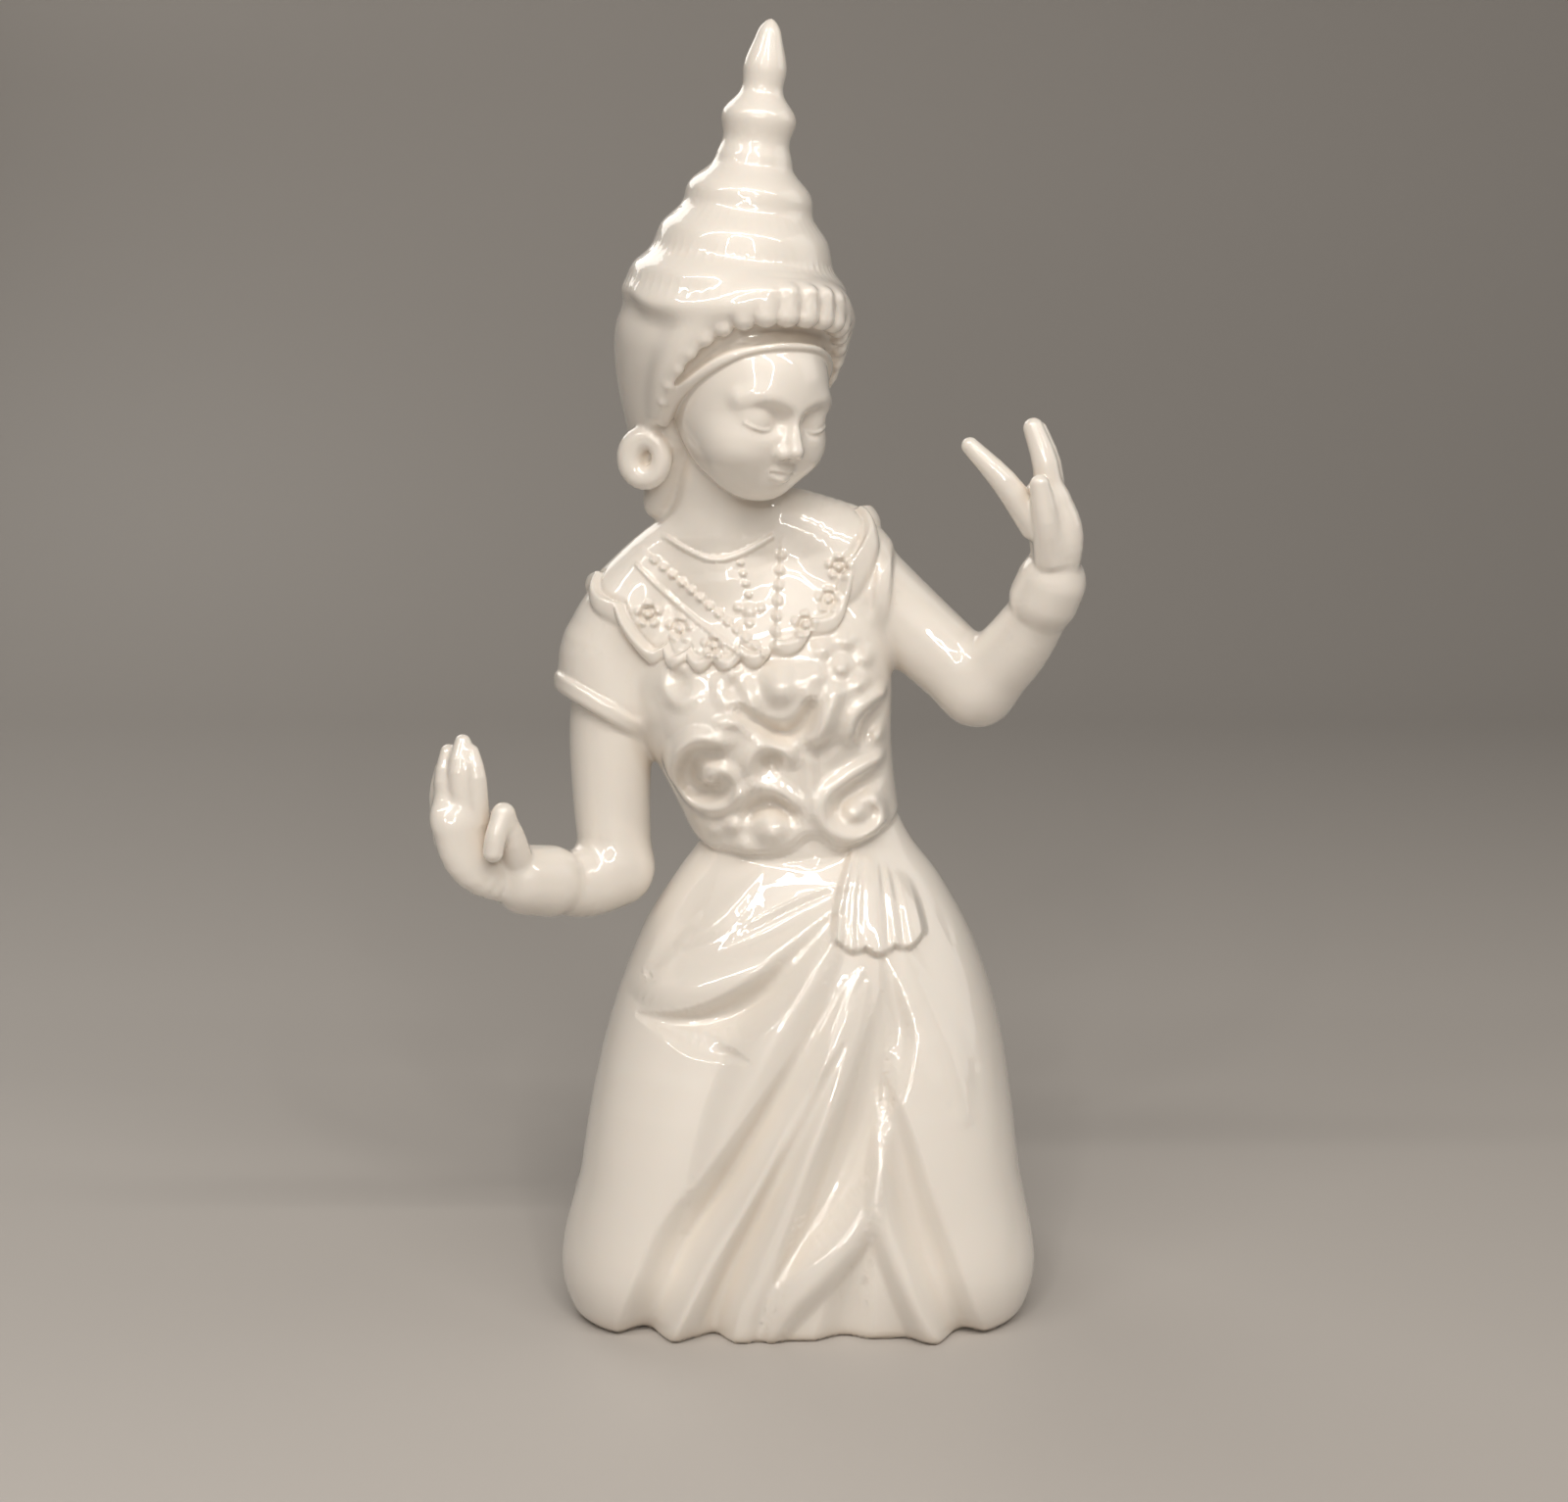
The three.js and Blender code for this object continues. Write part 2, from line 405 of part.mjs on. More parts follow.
// Hair: a full, smooth cap whose front edge is a thin ridge, with a groove above the ridge.
// Rows of the lines are side, front, up, thickness.
const mirrored = (rows) => [...rows.slice(1).reverse().map(([u, ...rest]) => [-u, ...rest]), ...rows];
const capColumn = column([
  [-20, 0, -11, 8, 8, 2],
  [-13, 0, -8.5, 11.6, 12, 2],
  [-6, 0, -6.5, 15.2, 16.4, 2],
  [2, 0, -5, 18.4, 19.6, 2.1],
  [10, 0, -4, 20.6, 21, 2.1],
  [15, 0, -3.6, 20.3, 20.4, 2.1],
  [19, 0, -3, 18.6, 18.6, 2],
  [24, 0, -2, 15, 15, 2],
]);
const HAIRLINE = [[-24, -8], [-17, -6.4], [-10, -4.6], [-5, -2.6], [0, 1.9], [6, 8.1], [12, 14.4], [20, 22.7]];
const hairline = profile(HAIRLINE);
const HAIR_EDGE = [[0, 19.2, 14.8, 0.9], [5, 18.2, 14.3, 0.9], [9.6, 15.3, 12.4, 0.9], [12.6, 12.2, 9.6, 0.9],
  [14.3, 7.8, 5.6, 0.9], [14.5, 3.4, 1.4, 0.9], [13.6, -0.6, -3.4, 0.9]];
const BAND = [[0, 19.6, 18, 1.9], [5.4, 18.6, 17.4, 1.9], [10, 15.8, 15.6, 1.8], [13.4, 12.2, 12.4, 1.5],
  [15.4, 8.6, 8.4, 1.2], [16.2, 4.8, 4, 0.8], [15.8, 1.6, -0.4, 0.4]];
const hairEdge = limb(mirrored(HAIR_EDGE), { steps: 4 });
const hairBand = limb(mirrored(BAND), { steps: 4 });

// The brim is a thick roll over the forehead that thins out down to both ears. Round lobes hang
// from its lower edge and rise over the roll. Rows are side, front, up, thickness.
const BRIM = [[0, 17.4, 23, 3.5], [7.2, 16, 22.4, 3.4], [12, 12.6, 20, 3.2], [15, 9.4, 16.6, 2.9],
  [16.7, 6.6, 12, 2.5], [16.9, 4.2, 7.2, 2.1], [16.2, 2, 2.6, 1.5], [14.8, 0, -2, 0.9]];
const LOBES = [[0, 19.9, 20.6, 2.2], [5.4, 18.9, 20.2, 2.2], [9.4, 16.6, 19.1, 2.1], [13, 13.2, 16.6, 1.8],
  [15.7, 9.9, 13, 1.55], [17, 7.4, 9.2, 1.35], [17.4, 5, 5, 1.1], [16.8, 2.8, 1, 0.9]];
const LOBE_COUNT = 19;
const LOBE_RISE = 3.8;
const brim = limb(mirrored(BRIM), { steps: 5 });
// Points spaced evenly along a line of [side, front, up, radius]
function spaced(line, count) {
  const run = [0];
  for (let i = 1; i < line.length; i++)
    run.push(run[i - 1] + Math.hypot(...[0, 1, 2].map((k) => line[i][k] - line[i - 1][k])));
  const out = [];
  for (let n = 0, i = 0; n < count; n++) {
    const s = (run[run.length - 1] * n) / (count - 1);
    while (i < line.length - 2 && run[i + 1] < s) i++;
    const t = (s - run[i]) / (run[i + 1] - run[i]);
    out.push(line[i].map((v, k) => v + t * (line[i + 1][k] - v)));
  }
  return out;
}
const lobes = spaced(spline(mirrored(LOBES), 8), LOBE_COUNT).map(([u, v, w, r]) =>
  limb([[u, v, w, r], [u * 0.99, v, w + (LOBE_RISE * r) / LOBES[0][3], r * 0.72]], { steps: 1 }));
function hair(u, v, w) {
  let d = smoothMax(capColumn(u, v, w) * 0.95, Math.max(w - 22, -17 - w), 5);
  d = smoothMax(d, (v - hairline(w)[0]) * 0.75, 1.5);
  const roll = brim(u, v, w);
  d = smoothMin(d, roll, 3.5);
  d = smoothMax(d, -hairBand(u, v, w), 1.4);
  d = smoothMin(d, hairEdge(u, v, w), 1);
  if (roll < 8) for (const lobe of lobes) d = smoothMin(d, lobe(u, v, w), 0.7);
  return d;
}
const nape = limb([[-16.5, 9, 160, 5.5], [-18, 12, 150, 6], [-14, 17, 138, 6.5]],
  { normal: [0, 1, 0.2], flat: 0.7 });

// Ear ornaments: a ring that hangs beside a lock of hair
const earCurls = [-1, 1].map((side) => {
  const rows = [...Array(13)].map((_, i) => {
    const a = degrees(60 + 30 * i);
    return [side * (14 - 1.8 * Math.cos(a)), -4.6 + 2.6 * Math.cos(a), -11 + 3.7 * Math.sin(a),
      2.35 - 0.35 * Math.cos(a)];
  });
  const lock = limb([[side * 8, -5, -5, 5.4], [side * 7.6, -6.2, -12, 4.6], [side * 7, -8, -20, 3.6]]);
  return blend(0.8, limb(rows, { steps: 2 }), lock, ball(side * 12.2, -6.8, -11.2, 2.8));
});

// Crown: turned rings that narrow to a bud
const CROWN_FRAME = placed([-14.1, 0.5, 170], 36, 7, 4);
const CROWN = [
  // height above the head's centre, radius
  [12, 17], [15.6, 21], [18, 22.2], [20.2, 21.6], [22, 20.9], [24, 20.4], [25.6, 19.4], [27, 17.8],
  [28.4, 16.9], [30, 16.5], [32, 15.9], [33.2, 15.3], [34.6, 14], [36.2, 12.5], [37.6, 12], [39.4, 11.9],
  [41, 11.2], [42.4, 9.9], [44, 7.9], [45.4, 7.2], [46.6, 7.1], [48, 6.4], [49.6, 6.2], [51, 6.5],
  [52.8, 7], [54.2, 6.8], [55.6, 5.9], [57, 4.5], [58.4, 3.8], [60, 3.8], [62, 4.1], [63.6, 3.8],
  [65, 3.4], [67, 2.7], [69, 2.1], [71, 1.4],
];
const crownRadius = profile(CROWN);
const SOFT = 0.9; // the turned edges are rounded over this height
function crown(x, y, z) {
  const [u, v, w] = CROWN_FRAME(x, y, z);
  const radius = (crownRadius(w - SOFT)[0] + 2 * crownRadius(w)[0] + crownRadius(w + SOFT)[0]) / 4;
  const d = (Math.hypot(u, v) - radius) * 0.85;
  const base = 15.2 + 2.6 * ramp(-v, -6, 5) + 3.2 * ramp(v, 9, 17);
  return smoothMax(smoothMax(d, w - 71.6, 3), (base - w) * 0.9, 3);
}

function head(x, y, z) {
  if (z < 140 || Math.hypot(x + 12, y) > 50) return 20;
  const [u, v, w] = HEAD(x, y, z);
  let d = smoothMin(face(u, v, w), Math.min(cheeks[0](u, v, w), cheeks[1](u, v, w)), 3);
  d = smoothMin(d, nose(u, v, w), 1.7);
  d = smoothMax(d, -sockets[0](u, v, w), 2.4);
  d = smoothMax(d, -sockets[1](u, v, w), 2.4);
  d = smoothMin(d, lips(u, v, w), 1);
  d = smoothMin(d, hair(u, v, w), 0.6);
  d = smoothMin(d, Math.min(earCurls[0](u, v, w), earCurls[1](u, v, w)), 0.8);
  return smoothMin(d, crown(x, y, z), 2.6);
}
const neck = limb([[-13.5, 4, 138, 9.5], [-14.6, 4, 147, 8], [-14.4, 3, 160, 7.8]]);

// Collar: a cape with a scalloped, rolled edge, lying on the shoulders. In front its two flaps
// part in a V and leave a plain panel between them.
const NECK_BASE = [-13.5, 4, 146];
const COLLAR = { reach: 27.6, scallop: 2, count: 19, thick: 1.3, edge: 0.9, panel: 0.8 };
const FLAP_RIGHT = [[-27.2, 141.6], [-6.2, 124.8]];
const FLAP_LEFT = [[-3.4, 142.5], [-4.4, 126]];
// Distance to the left of a line that is walked from its first end to its second
function beside([[x0, z0], [x1, z1]], x, z) {
  return ((x1 - x0) * (z - z0) - (z1 - z0) * (x - x0)) / Math.hypot(x1 - x0, z1 - z0);
}
function collar(body, x, y, z) {
  const [dx, dy, dz] = [x - NECK_BASE[0], y - NECK_BASE[1], z - NECK_BASE[2]];
  const a = Math.atan2(dx, -dy);
  const out = Math.hypot(dx, dy, dz) - COLLAR.reach -
    COLLAR.scallop * Math.abs(Math.cos((a * COLLAR.count) / 2));
  const panel = ramp(beside(FLAP_RIGHT, x, z), -0.3, 0.5) * ramp(-beside(FLAP_LEFT, x, z), -0.3, 0.5) *
    ramp(-y, 0, 4);
  const edge = COLLAR.edge * Math.exp(-(((out + 1.3) / 0.9) ** 2));
  return smoothMax(body - COLLAR.thick - edge * (1 - panel) + COLLAR.panel * panel, out, 0.8);
}

// Sash: its pleated tail hangs over the left thigh. Rows are [height, centre, half width].
const sashWidth = profile([[66, 15.4, 9.6], [72, 15.3, 9.4], [78, 15, 8.4], [84, 14.9, 6.4], [92, 15.3, 4]]);
const SASH = { thick: 2.3, bottom: 70.2, pleats: [-0.7, -0.45, 0.16, 0.45], pleatDepth: 0.9 };
function sash(x, z) {
  if (z < 60 || z > 100) return 0;
  const [centre, width] = sashWidth(z);
  const s = (x - centre) / width;
  if (Math.abs(s) > 1.1) return 0;
  const bottom = SASH.bottom + 2.2 * s * s - 1.1 * Math.abs(Math.cos(s * 5.4));
  let h = SASH.thick;
  for (const p of SASH.pleats) h -= SASH.pleatDepth * Math.exp(-(((s - p) / 0.1) ** 2)) * ramp(-z, -90, -78);
  return h * (1 - ramp(Math.abs(s), 0.8, 1.05)) * ramp(z, bottom - 1.3, bottom + 1.3);
}

// The whole figure
function figure(x, y, z) {
  let lower = skirt(x, y, z);
  lower -= sash(x, z) * ramp(-y, 6, 14);
  lower = smoothMin(lower, Math.min(feet[0](x, y, z), feet[1](x, y, z)), 2);
  const torso = smoothMin(bodice(x, y, z), shoulders(x, y, z), 5);
  let upper = smoothMin(torso, arms(x, y, z), 2.5);
  const body = smoothMin(upper, neck(x, y, z), 4);
  upper = smoothMin(body, collar(body, x, y, z), 0.4);
  upper = smoothMin(upper, nape(x, y, z), 2);
  let d = smoothMin(lower, upper, 0.8);
  d = smoothMin(d, head(x, y, z), 1.2);
  return smoothMax(d, -z, 0.8);
}

// Meshing: surface nets on a grid, with each vertex then moved onto the surface
const BOX = { low: [-74, -52, -3.3], high: [62, 64, HEIGHT + 4], heart: [0, 4, 50] };
function gradient(field, x, y, z, h = 0.05) {
  return [field(x + h, y, z) - field(x - h, y, z), field(x, y + h, z) - field(x, y - h, z),
    field(x, y, z + h) - field(x, y, z - h)].map((v) => v / (2 * h));
}
// The cells that a walk from the start can reach without crossing the surface.
function reached(values, n, start) {
  const steps = [1, n[0], n[0] * n[1]];
  const inside = values[start] < 0;
  const seen = new Uint8Array(values.length);
  const queue = [start];
  seen[start] = 1;
  while (queue.length) {
    const o = queue.pop();
    for (const s of steps)
      for (const next of [o - s, o + s]) {
        if (next < 0 || next >= values.length || seen[next] || values[next] < 0 !== inside) continue;
        seen[next] = 1;
        queue.push(next);
      }
  }
  return seen;
}
// Closed hollows become porcelain, and crumbs that hang in the air go.
function onePiece(values, n, heart) {
  const air = reached(values, n, 0);
  values.forEach((v, o) => {
    if (v >= 0 && !air[o]) values[o] = -0.1;
  });
  const solid = reached(values, n, heart);
  values.forEach((v, o) => {
    if (v < 0 && !solid[o]) values[o] = 0.1;
  });
}
// Where two parts of the surface would touch at one corner or edge of a cell, the corner is
// filled, so that the surface never meets itself.
const CORNERS = [0, 1, 2, 3, 4, 5, 6, 7].map((c) => [c & 1, (c >> 1) & 1, c >> 2]);
const DIAGONALS = [[0, 3, 1, 2], [4, 7, 5, 6], [0, 5, 1, 4], [2, 7, 3, 6], [0, 6, 2, 4], [1, 7, 3, 5]];
function untangle(values, n, index) {
  for (let found = true, pass = 0; found && pass < 12; pass++) {
    found = false;
    for (let k = 0; k < n[2] - 1; k++)
      for (let j = 0; j < n[1] - 1; j++)
        for (let i = 0; i < n[0] - 1; i++) {
          const at = CORNERS.map(([a, b, c]) => index(i + a, j + b, k + c));
          const solid = at.map((o) => values[o] < 0);
          const count = solid.filter(Boolean).length;
          if (count < 2 || count > 6) continue;
          const crossed = DIAGONALS.some(([a, b, c, d]) =>
            solid[a] === solid[b] && solid[c] === solid[d] && solid[a] !== solid[c]);
          const ends = (count === 2 || count === 6) && [0, 1, 2, 3].some((c) =>
            solid[c] === solid[7 - c] && solid[c] === (count === 2));
          if (!crossed && !ends) continue;
          const open = at.filter((_, c) => !solid[c]);
          const nearest = open.reduce((a, b) => (values[a] <= values[b] ? a : b));
          values[nearest] = -0.05;
          found = true;
        }
  }
}
function surfaceNets(field, box, cell) {
  const n = [0, 1, 2].map((k) => Math.ceil((box.high[k] - box.low[k]) / cell) + 1);
  const index = (i, j, k) => i + n[0] * (j + n[1] * k);
  const values = new Float32Array(n[0] * n[1] * n[2]).fill(1);
  const BLOCK = 4;
  const reach = BLOCK * cell * 1.6;
  const at = (i, j, k) => field(box.low[0] + i * cell, box.low[1] + j * cell, box.low[2] + k * cell);
  for (let k = 0; k < n[2]; k += BLOCK)
    for (let j = 0; j < n[1]; j += BLOCK)
      for (let i = 0; i < n[0]; i += BLOCK) {
        const middle = at(i + BLOCK / 2, j + BLOCK / 2, k + BLOCK / 2);
        const near = Math.abs(middle) < reach;
        for (let c = k; c < Math.min(k + BLOCK, n[2]); c++)
          for (let b = j; b < Math.min(j + BLOCK, n[1]); b++)
            for (let a = i; a < Math.min(i + BLOCK, n[0]); a++)
              values[index(a, b, c)] = near ? at(a, b, c) : middle;
      }
  const heart = box.heart.map((c, m) => Math.round((c - box.low[m]) / cell));
  onePiece(values, n, index(...heart));
  untangle(values, n, index);
  const vertexOf = new Int32Array(values.length).fill(-1);
  const points = [];
  for (let k = 0; k < n[2] - 1; k++)
    for (let j = 0; j < n[1] - 1; j++)
      for (let i = 0; i < n[0] - 1; i++) {
        const v = CORNERS.map(([a, b, c]) => values[index(i + a, j + b, k + c)]);
        const inside = v.filter((d) => d < 0).length;
        if (inside === 0 || inside === 8) continue;
        const sum = [0, 0, 0];
        let count = 0;
        for (let c = 0; c < 8; c++)
          for (const bit of [1, 2, 4]) {
            const e = c | bit;
            if (e === c || v[c] < 0 === v[e] < 0) continue;
            const t = v[c] / (v[c] - v[e]);
            for (let m = 0; m < 3; m++) sum[m] += CORNERS[c][m] + t * (CORNERS[e][m] - CORNERS[c][m]);
            count++;
          }
        vertexOf[index(i, j, k)] = points.length;
        points.push([i, j, k].map((s, m) => box.low[m] + cell * (s + sum[m] / count)));
      }
  const faces = [];
  const step = [1, n[0], n[0] * n[1]];
  for (let k = 1; k < n[2] - 1; k++)
    for (let j = 1; j < n[1] - 1; j++)
      for (let i = 1; i < n[0] - 1; i++)
        for (let m = 0; m < 3; m++) {
          const o = index(i, j, k);
          const [a, b] = [values[o] < 0, values[o + step[m]] < 0];
          if (a === b) continue;
          const [p, q] = [step[(m + 1) % 3], step[(m + 2) % 3]];
          const quad = [o - p - q, o - q, o, o - p].map((c) => vertexOf[c]);
          if (!a) quad.reverse();
          faces.push([quad[0], quad[1], quad[2]], [quad[0], quad[2], quad[3]]);
        }
  for (const p of points)
    for (let pass = 0; pass < 2; pass++) {
      const g = gradient(field, ...p);
      const length = Math.max(g[0] ** 2 + g[1] ** 2 + g[2] ** 2, 0.1);
      const d = clamp(field(...p), -cell / 2, cell / 2);
      for (let m = 0; m < 3; m++) p[m] -= (d * g[m]) / length;
    }
  return { points, faces };
}

// Evening out: each vertex moves a little towards the middle of its neighbours, then back
// onto the surface.
function even({ points, faces }, field, share, passes) {
  const near = points.map(() => new Set());
  for (const f of faces) f.forEach((v, i) => near[v].add(f[(i + 1) % 3]).add(f[(i + 2) % 3]));
  for (let pass = 0; pass < passes; pass++) {
    const middles = near.map((set) => {
      const sum = [0, 0, 0];
      for (const w of set) points[w].forEach((c, m) => (sum[m] += c / set.size));
      return sum;
    });
    points.forEach((p, v) => {
      if (!near[v].size) return;
      for (let m = 0; m < 3; m++) p[m] += share * (middles[v][m] - p[m]);
      const g = gradient(field, ...p, 0.3);
      const length = Math.max(g[0] ** 2 + g[1] ** 2 + g[2] ** 2, 0.2);
      const d = clamp(field(...p), -0.6, 0.6);
      for (let m = 0; m < 3; m++) p[m] -= (d * g[m]) / length;
    });
  }
  return { points, faces };
}

// Thinning: the edge whose removal moves the surface least is collapsed, again and again.
function thin({ points, faces }, target) {
  const quadric = points.map(() => new Float64Array(10));
  const around = points.map(() => new Set());
  const normalOf = (a, b, c) => {
    const [ux, uy, uz] = [b[0] - a[0], b[1] - a[1], b[2] - a[2]];
    const [vx, vy, vz] = [c[0] - a[0], c[1] - a[1], c[2] - a[2]];
    return [uy * vz - uz * vy, uz * vx - ux * vz, ux * vy - uy * vx];
  };
  faces.forEach((f, index) => {
    const [a, b, c] = f.map((v) => points[v]);
    const n = normalOf(a, b, c);
    const area = Math.hypot(...n) || 1e-12;
    const [x, y, z] = n.map((v) => v / area);
    const w = -(x * a[0] + y * a[1] + z * a[2]);
    const plane = [x * x, x * y, x * z, x * w, y * y, y * z, y * w, z * z, z * w, w * w];
    for (const v of f) {
      around[v].add(index);
      for (let k = 0; k < 10; k++) quadric[v][k] += plane[k] * area;
    }
  });
  const error = (q, [x, y, z]) => q[0] * x * x + 2 * q[1] * x * y + 2 * q[2] * x * z + 2 * q[3] * x +
    q[4] * y * y + 2 * q[5] * y * z + 2 * q[6] * y + q[7] * z * z + 2 * q[8] * z + q[9];
  const best = (q, a, b) => {
    const choices = [a, b, a.map((v, k) => (v + b[k]) / 2)];
    const det = q[0] * (q[4] * q[7] - q[5] * q[5]) - q[1] * (q[1] * q[7] - q[5] * q[2]) +
      q[2] * (q[1] * q[5] - q[4] * q[2]);
    if (Math.abs(det) > 1e-4) {
      const [r, s, t] = [-q[3], -q[6], -q[8]];
      const p = [
        (r * (q[4] * q[7] - q[5] * q[5]) - q[1] * (s * q[7] - q[5] * t) + q[2] * (s * q[5] - q[4] * t)) / det,
        (q[0] * (s * q[7] - q[5] * t) - r * (q[1] * q[7] - q[5] * q[2]) + q[2] * (q[1] * t - s * q[2])) / det,
        (q[0] * (q[4] * t - s * q[5]) - q[1] * (q[1] * t - s * q[2]) + r * (q[1] * q[5] - q[4] * q[2])) / det,
      ];
      const middle = choices[2];
      if (Math.hypot(p[0] - middle[0], p[1] - middle[1], p[2] - middle[2]) < 4) choices.push(p);
    }
    let least = [Infinity, null];
    for (const p of choices) {
      const e = error(q, p);
      if (e < least[0]) least = [e, p];
    }
    return least;
  };
  const stamp = new Int32Array(points.length);
  const heap = [];
  const up = (i) => {
    while (i > 0) {
      const parent = (i - 1) >> 1;
      if (heap[parent][0] <= heap[i][0]) break;
      [heap[parent], heap[i]] = [heap[i], heap[parent]];
      i = parent;
    }
  };
  const pop = () => {
    const top = heap[0];
    const last = heap.pop();
    if (!heap.length) return top;
    heap[0] = last;
    for (let i = 0; ;) {
      let child = 2 * i + 1;
      if (child >= heap.length) break;
      if (child + 1 < heap.length && heap[child + 1][0] < heap[child][0]) child++;
      if (heap[i][0] <= heap[child][0]) break;
      [heap[i], heap[child]] = [heap[child], heap[i]];
      i = child;
    }
    return top;
  };
  const sum = (a, b) => a.map((v, k) => v + b[k]);
  const offer = (a, b) => {
    const [cost, place] = best(sum(quadric[a], quadric[b]), points[a], points[b]);
    const length = Math.hypot(...points[a].map((v, k) => v - points[b][k]));
    heap.push([cost + 1e-4 * length * length, a, b, stamp[a], stamp[b], place]);
    up(heap.length - 1);
  };
  const neighbours = (v) => {
    const out = new Set();
    for (const f of around[v]) for (const w of faces[f]) if (w !== v) out.add(w);
    return out;
  };
  points.forEach((_, v) => neighbours(v).forEach((w) => v < w && offer(v, w)));
  let left = faces.length;
  const turns = (v, other, place) => {
    for (const f of around[v]) {
      const face = faces[f];
      if (face.includes(other)) continue;
      const before = face.map((w) => points[w]);
      const after = face.map((w) => (w === v ? place : points[w]));
      const [m, n] = [normalOf(...before), normalOf(...after)];
      const dot = m[0] * n[0] + m[1] * n[1] + m[2] * n[2];
      if (dot < 0.25 * Math.hypot(...m) * Math.hypot(...n)) return true;
    }
    return false;
  };
  while (left > target && heap.length) {
    const [, a, b, sa, sb, place] = pop();
    if (stamp[a] !== sa || stamp[b] !== sb || !around[a].size || !around[b].size) continue;
    const nearA = neighbours(a);
    const shared = [...neighbours(b)].filter((w) => nearA.has(w));
    if (shared.length !== 2 || turns(a, b, place) || turns(b, a, place)) continue;
    for (const f of [...around[b]]) {
      const face = faces[f];
      if (face.includes(a)) {
        for (const w of face) around[w].delete(f);
        faces[f] = null;
        left--;
      } else {
        face[face.indexOf(b)] = a;
        around[a].add(f);
      }
    }
    around[b].clear();
    quadric[a] = sum(quadric[a], quadric[b]);
    points[a] = place;
    stamp[a]++;
    stamp[b]++;
    for (const w of neighbours(a)) offer(Math.min(a, w), Math.max(a, w));
  }
  return { points, faces: faces.filter(Boolean) };
}

// The underside is one true plane.
function flatBase(skin, reach) {
  for (const p of skin.points) if (p[2] < reach) p[2] = 0;
  return skin;
}
function geometryOf({ points, faces }) {
  const geometry = new THREE.BufferGeometry();
  geometry.setAttribute("position", new THREE.Float32BufferAttribute(points.flat(), 3));
  geometry.setIndex(faces.flat());
  geometry.computeVertexNormals();
  return geometry;
}

const group = new THREE.Group();
const porcelain = new THREE.MeshStandardMaterial({ color: GLAZE, roughness: 0.12, metalness: 0 });
const skin = even(thin(even(surfaceNets(figure, BOX, CELL), figure, 0.4, 3), TRIANGLES), figure, 0.1, 2);
const dancer = new THREE.Mesh(geometryOf(flatBase(skin, 0.5)), porcelain);
dancer.name = "dancer";
group.add(dancer);
export default group;
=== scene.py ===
import math
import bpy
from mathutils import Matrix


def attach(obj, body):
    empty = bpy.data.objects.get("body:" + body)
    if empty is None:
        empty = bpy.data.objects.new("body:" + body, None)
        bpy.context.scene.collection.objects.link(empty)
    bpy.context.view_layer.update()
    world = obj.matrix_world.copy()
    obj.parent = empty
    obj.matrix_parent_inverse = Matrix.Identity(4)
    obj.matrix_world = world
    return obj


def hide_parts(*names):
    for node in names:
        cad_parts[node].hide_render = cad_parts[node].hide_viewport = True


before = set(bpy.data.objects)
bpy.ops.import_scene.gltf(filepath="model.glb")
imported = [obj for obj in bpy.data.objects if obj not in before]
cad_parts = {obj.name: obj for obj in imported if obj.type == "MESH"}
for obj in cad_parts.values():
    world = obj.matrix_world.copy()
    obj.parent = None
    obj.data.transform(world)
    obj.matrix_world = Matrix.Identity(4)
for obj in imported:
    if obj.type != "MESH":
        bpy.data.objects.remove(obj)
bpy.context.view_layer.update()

from concurrent.futures import ThreadPoolExecutor

import bpy
import numpy as np
from mathutils import Euler, Vector

# A glazed porcelain figurine of a kneeling dancer. The figure faces -Y and stands on z = 0.
# Left and right are the dancer's own sides: the right side is at -X.
# The sculpture is a distance field, worked out in millimetres with the same parts as the solid
# and with finer carving on top, then meshed, thinned and turned into metres.
MM = 0.001
REAL = np.float32
NODE = "dancer"
HEIGHT = 240.0
CELL = 0.56  # grid of the mesh, in millimetres
TRIANGLES = 192000


# Numbers
def ramp(v, low, high):
    t = np.clip((v - low) / (high - low), 0, 1)
    return t * t * (3 - 2 * t)


def smooth_min(a, b, k):
    h = np.maximum(k - np.abs(a - b), 0) / k
    return np.minimum(a, b) - h * h * k / 4


def smooth_max(a, b, k):
    return -smooth_min(-a, -b, k)


def blend(k, *fields):
    def field(x, y, z):
        d = fields[0](x, y, z)
        for f in fields[1:]:
            d = smooth_min(d, f(x, y, z), k)
        return d
    return field


def nearest(*fields):
    def field(x, y, z):
        d = fields[0](x, y, z)
        for f in fields[1:]:
            d = np.minimum(d, f(x, y, z))
        return d
    return field


def spline(rows, steps):
    """Points of a Catmull-Rom spline through rows of numbers of any length."""
    p = np.array(rows, float)
    p = np.vstack([2 * p[0] - p[1], p, 2 * p[-1] - p[-2]])
    out = []
    for a, b, c, d in zip(p, p[1:], p[2:], p[3:]):
        for s in range(steps):
            t = s / steps
            out.append(b + 0.5 * t * (c - a + t * (2 * a - 5 * b + 4 * c - d + t * (3 * (b - c) + d - a))))
    out.append(p[-2])
    return np.array(out)


def profile(rows):
    """Smooth values along a height: rows are [height, value, value ...]."""
    rows = np.array(rows, REAL)
    h, v = rows[:, 0], rows[:, 1:]
    slope = np.zeros_like(v)
    for i in range(len(h)):
        a, b = max(i - 1, 0), min(i + 1, len(h) - 1)
        slope[i] = (v[b] - v[a]) / (h[b] - h[a])

    def at(height):
        s = np.clip(height, h[0], h[-1])
        i = np.clip(np.searchsorted(h, s, side="left") - 1, 0, len(h) - 2)
        step = h[i + 1] - h[i]
        t = (s - h[i]) / step
        out = []
        for k in range(v.shape[1]):
            a, b = v[i, k], v[i + 1, k]
            ma, mb = slope[i, k] * step, slope[i + 1, k] * step
            out.append(a + t * (ma + t * (3 * (b - a) - 2 * ma - mb + t * (2 * (a - b) + ma + mb))))
        return out
    return at


# Fields: each takes arrays x, y, z and gives the distance to a surface
def ball(cx, cy, cz, r):
    return lambda x, y, z: np.sqrt((x - cx) ** 2 + (y - cy) ** 2 + (z - cz) ** 2) - r


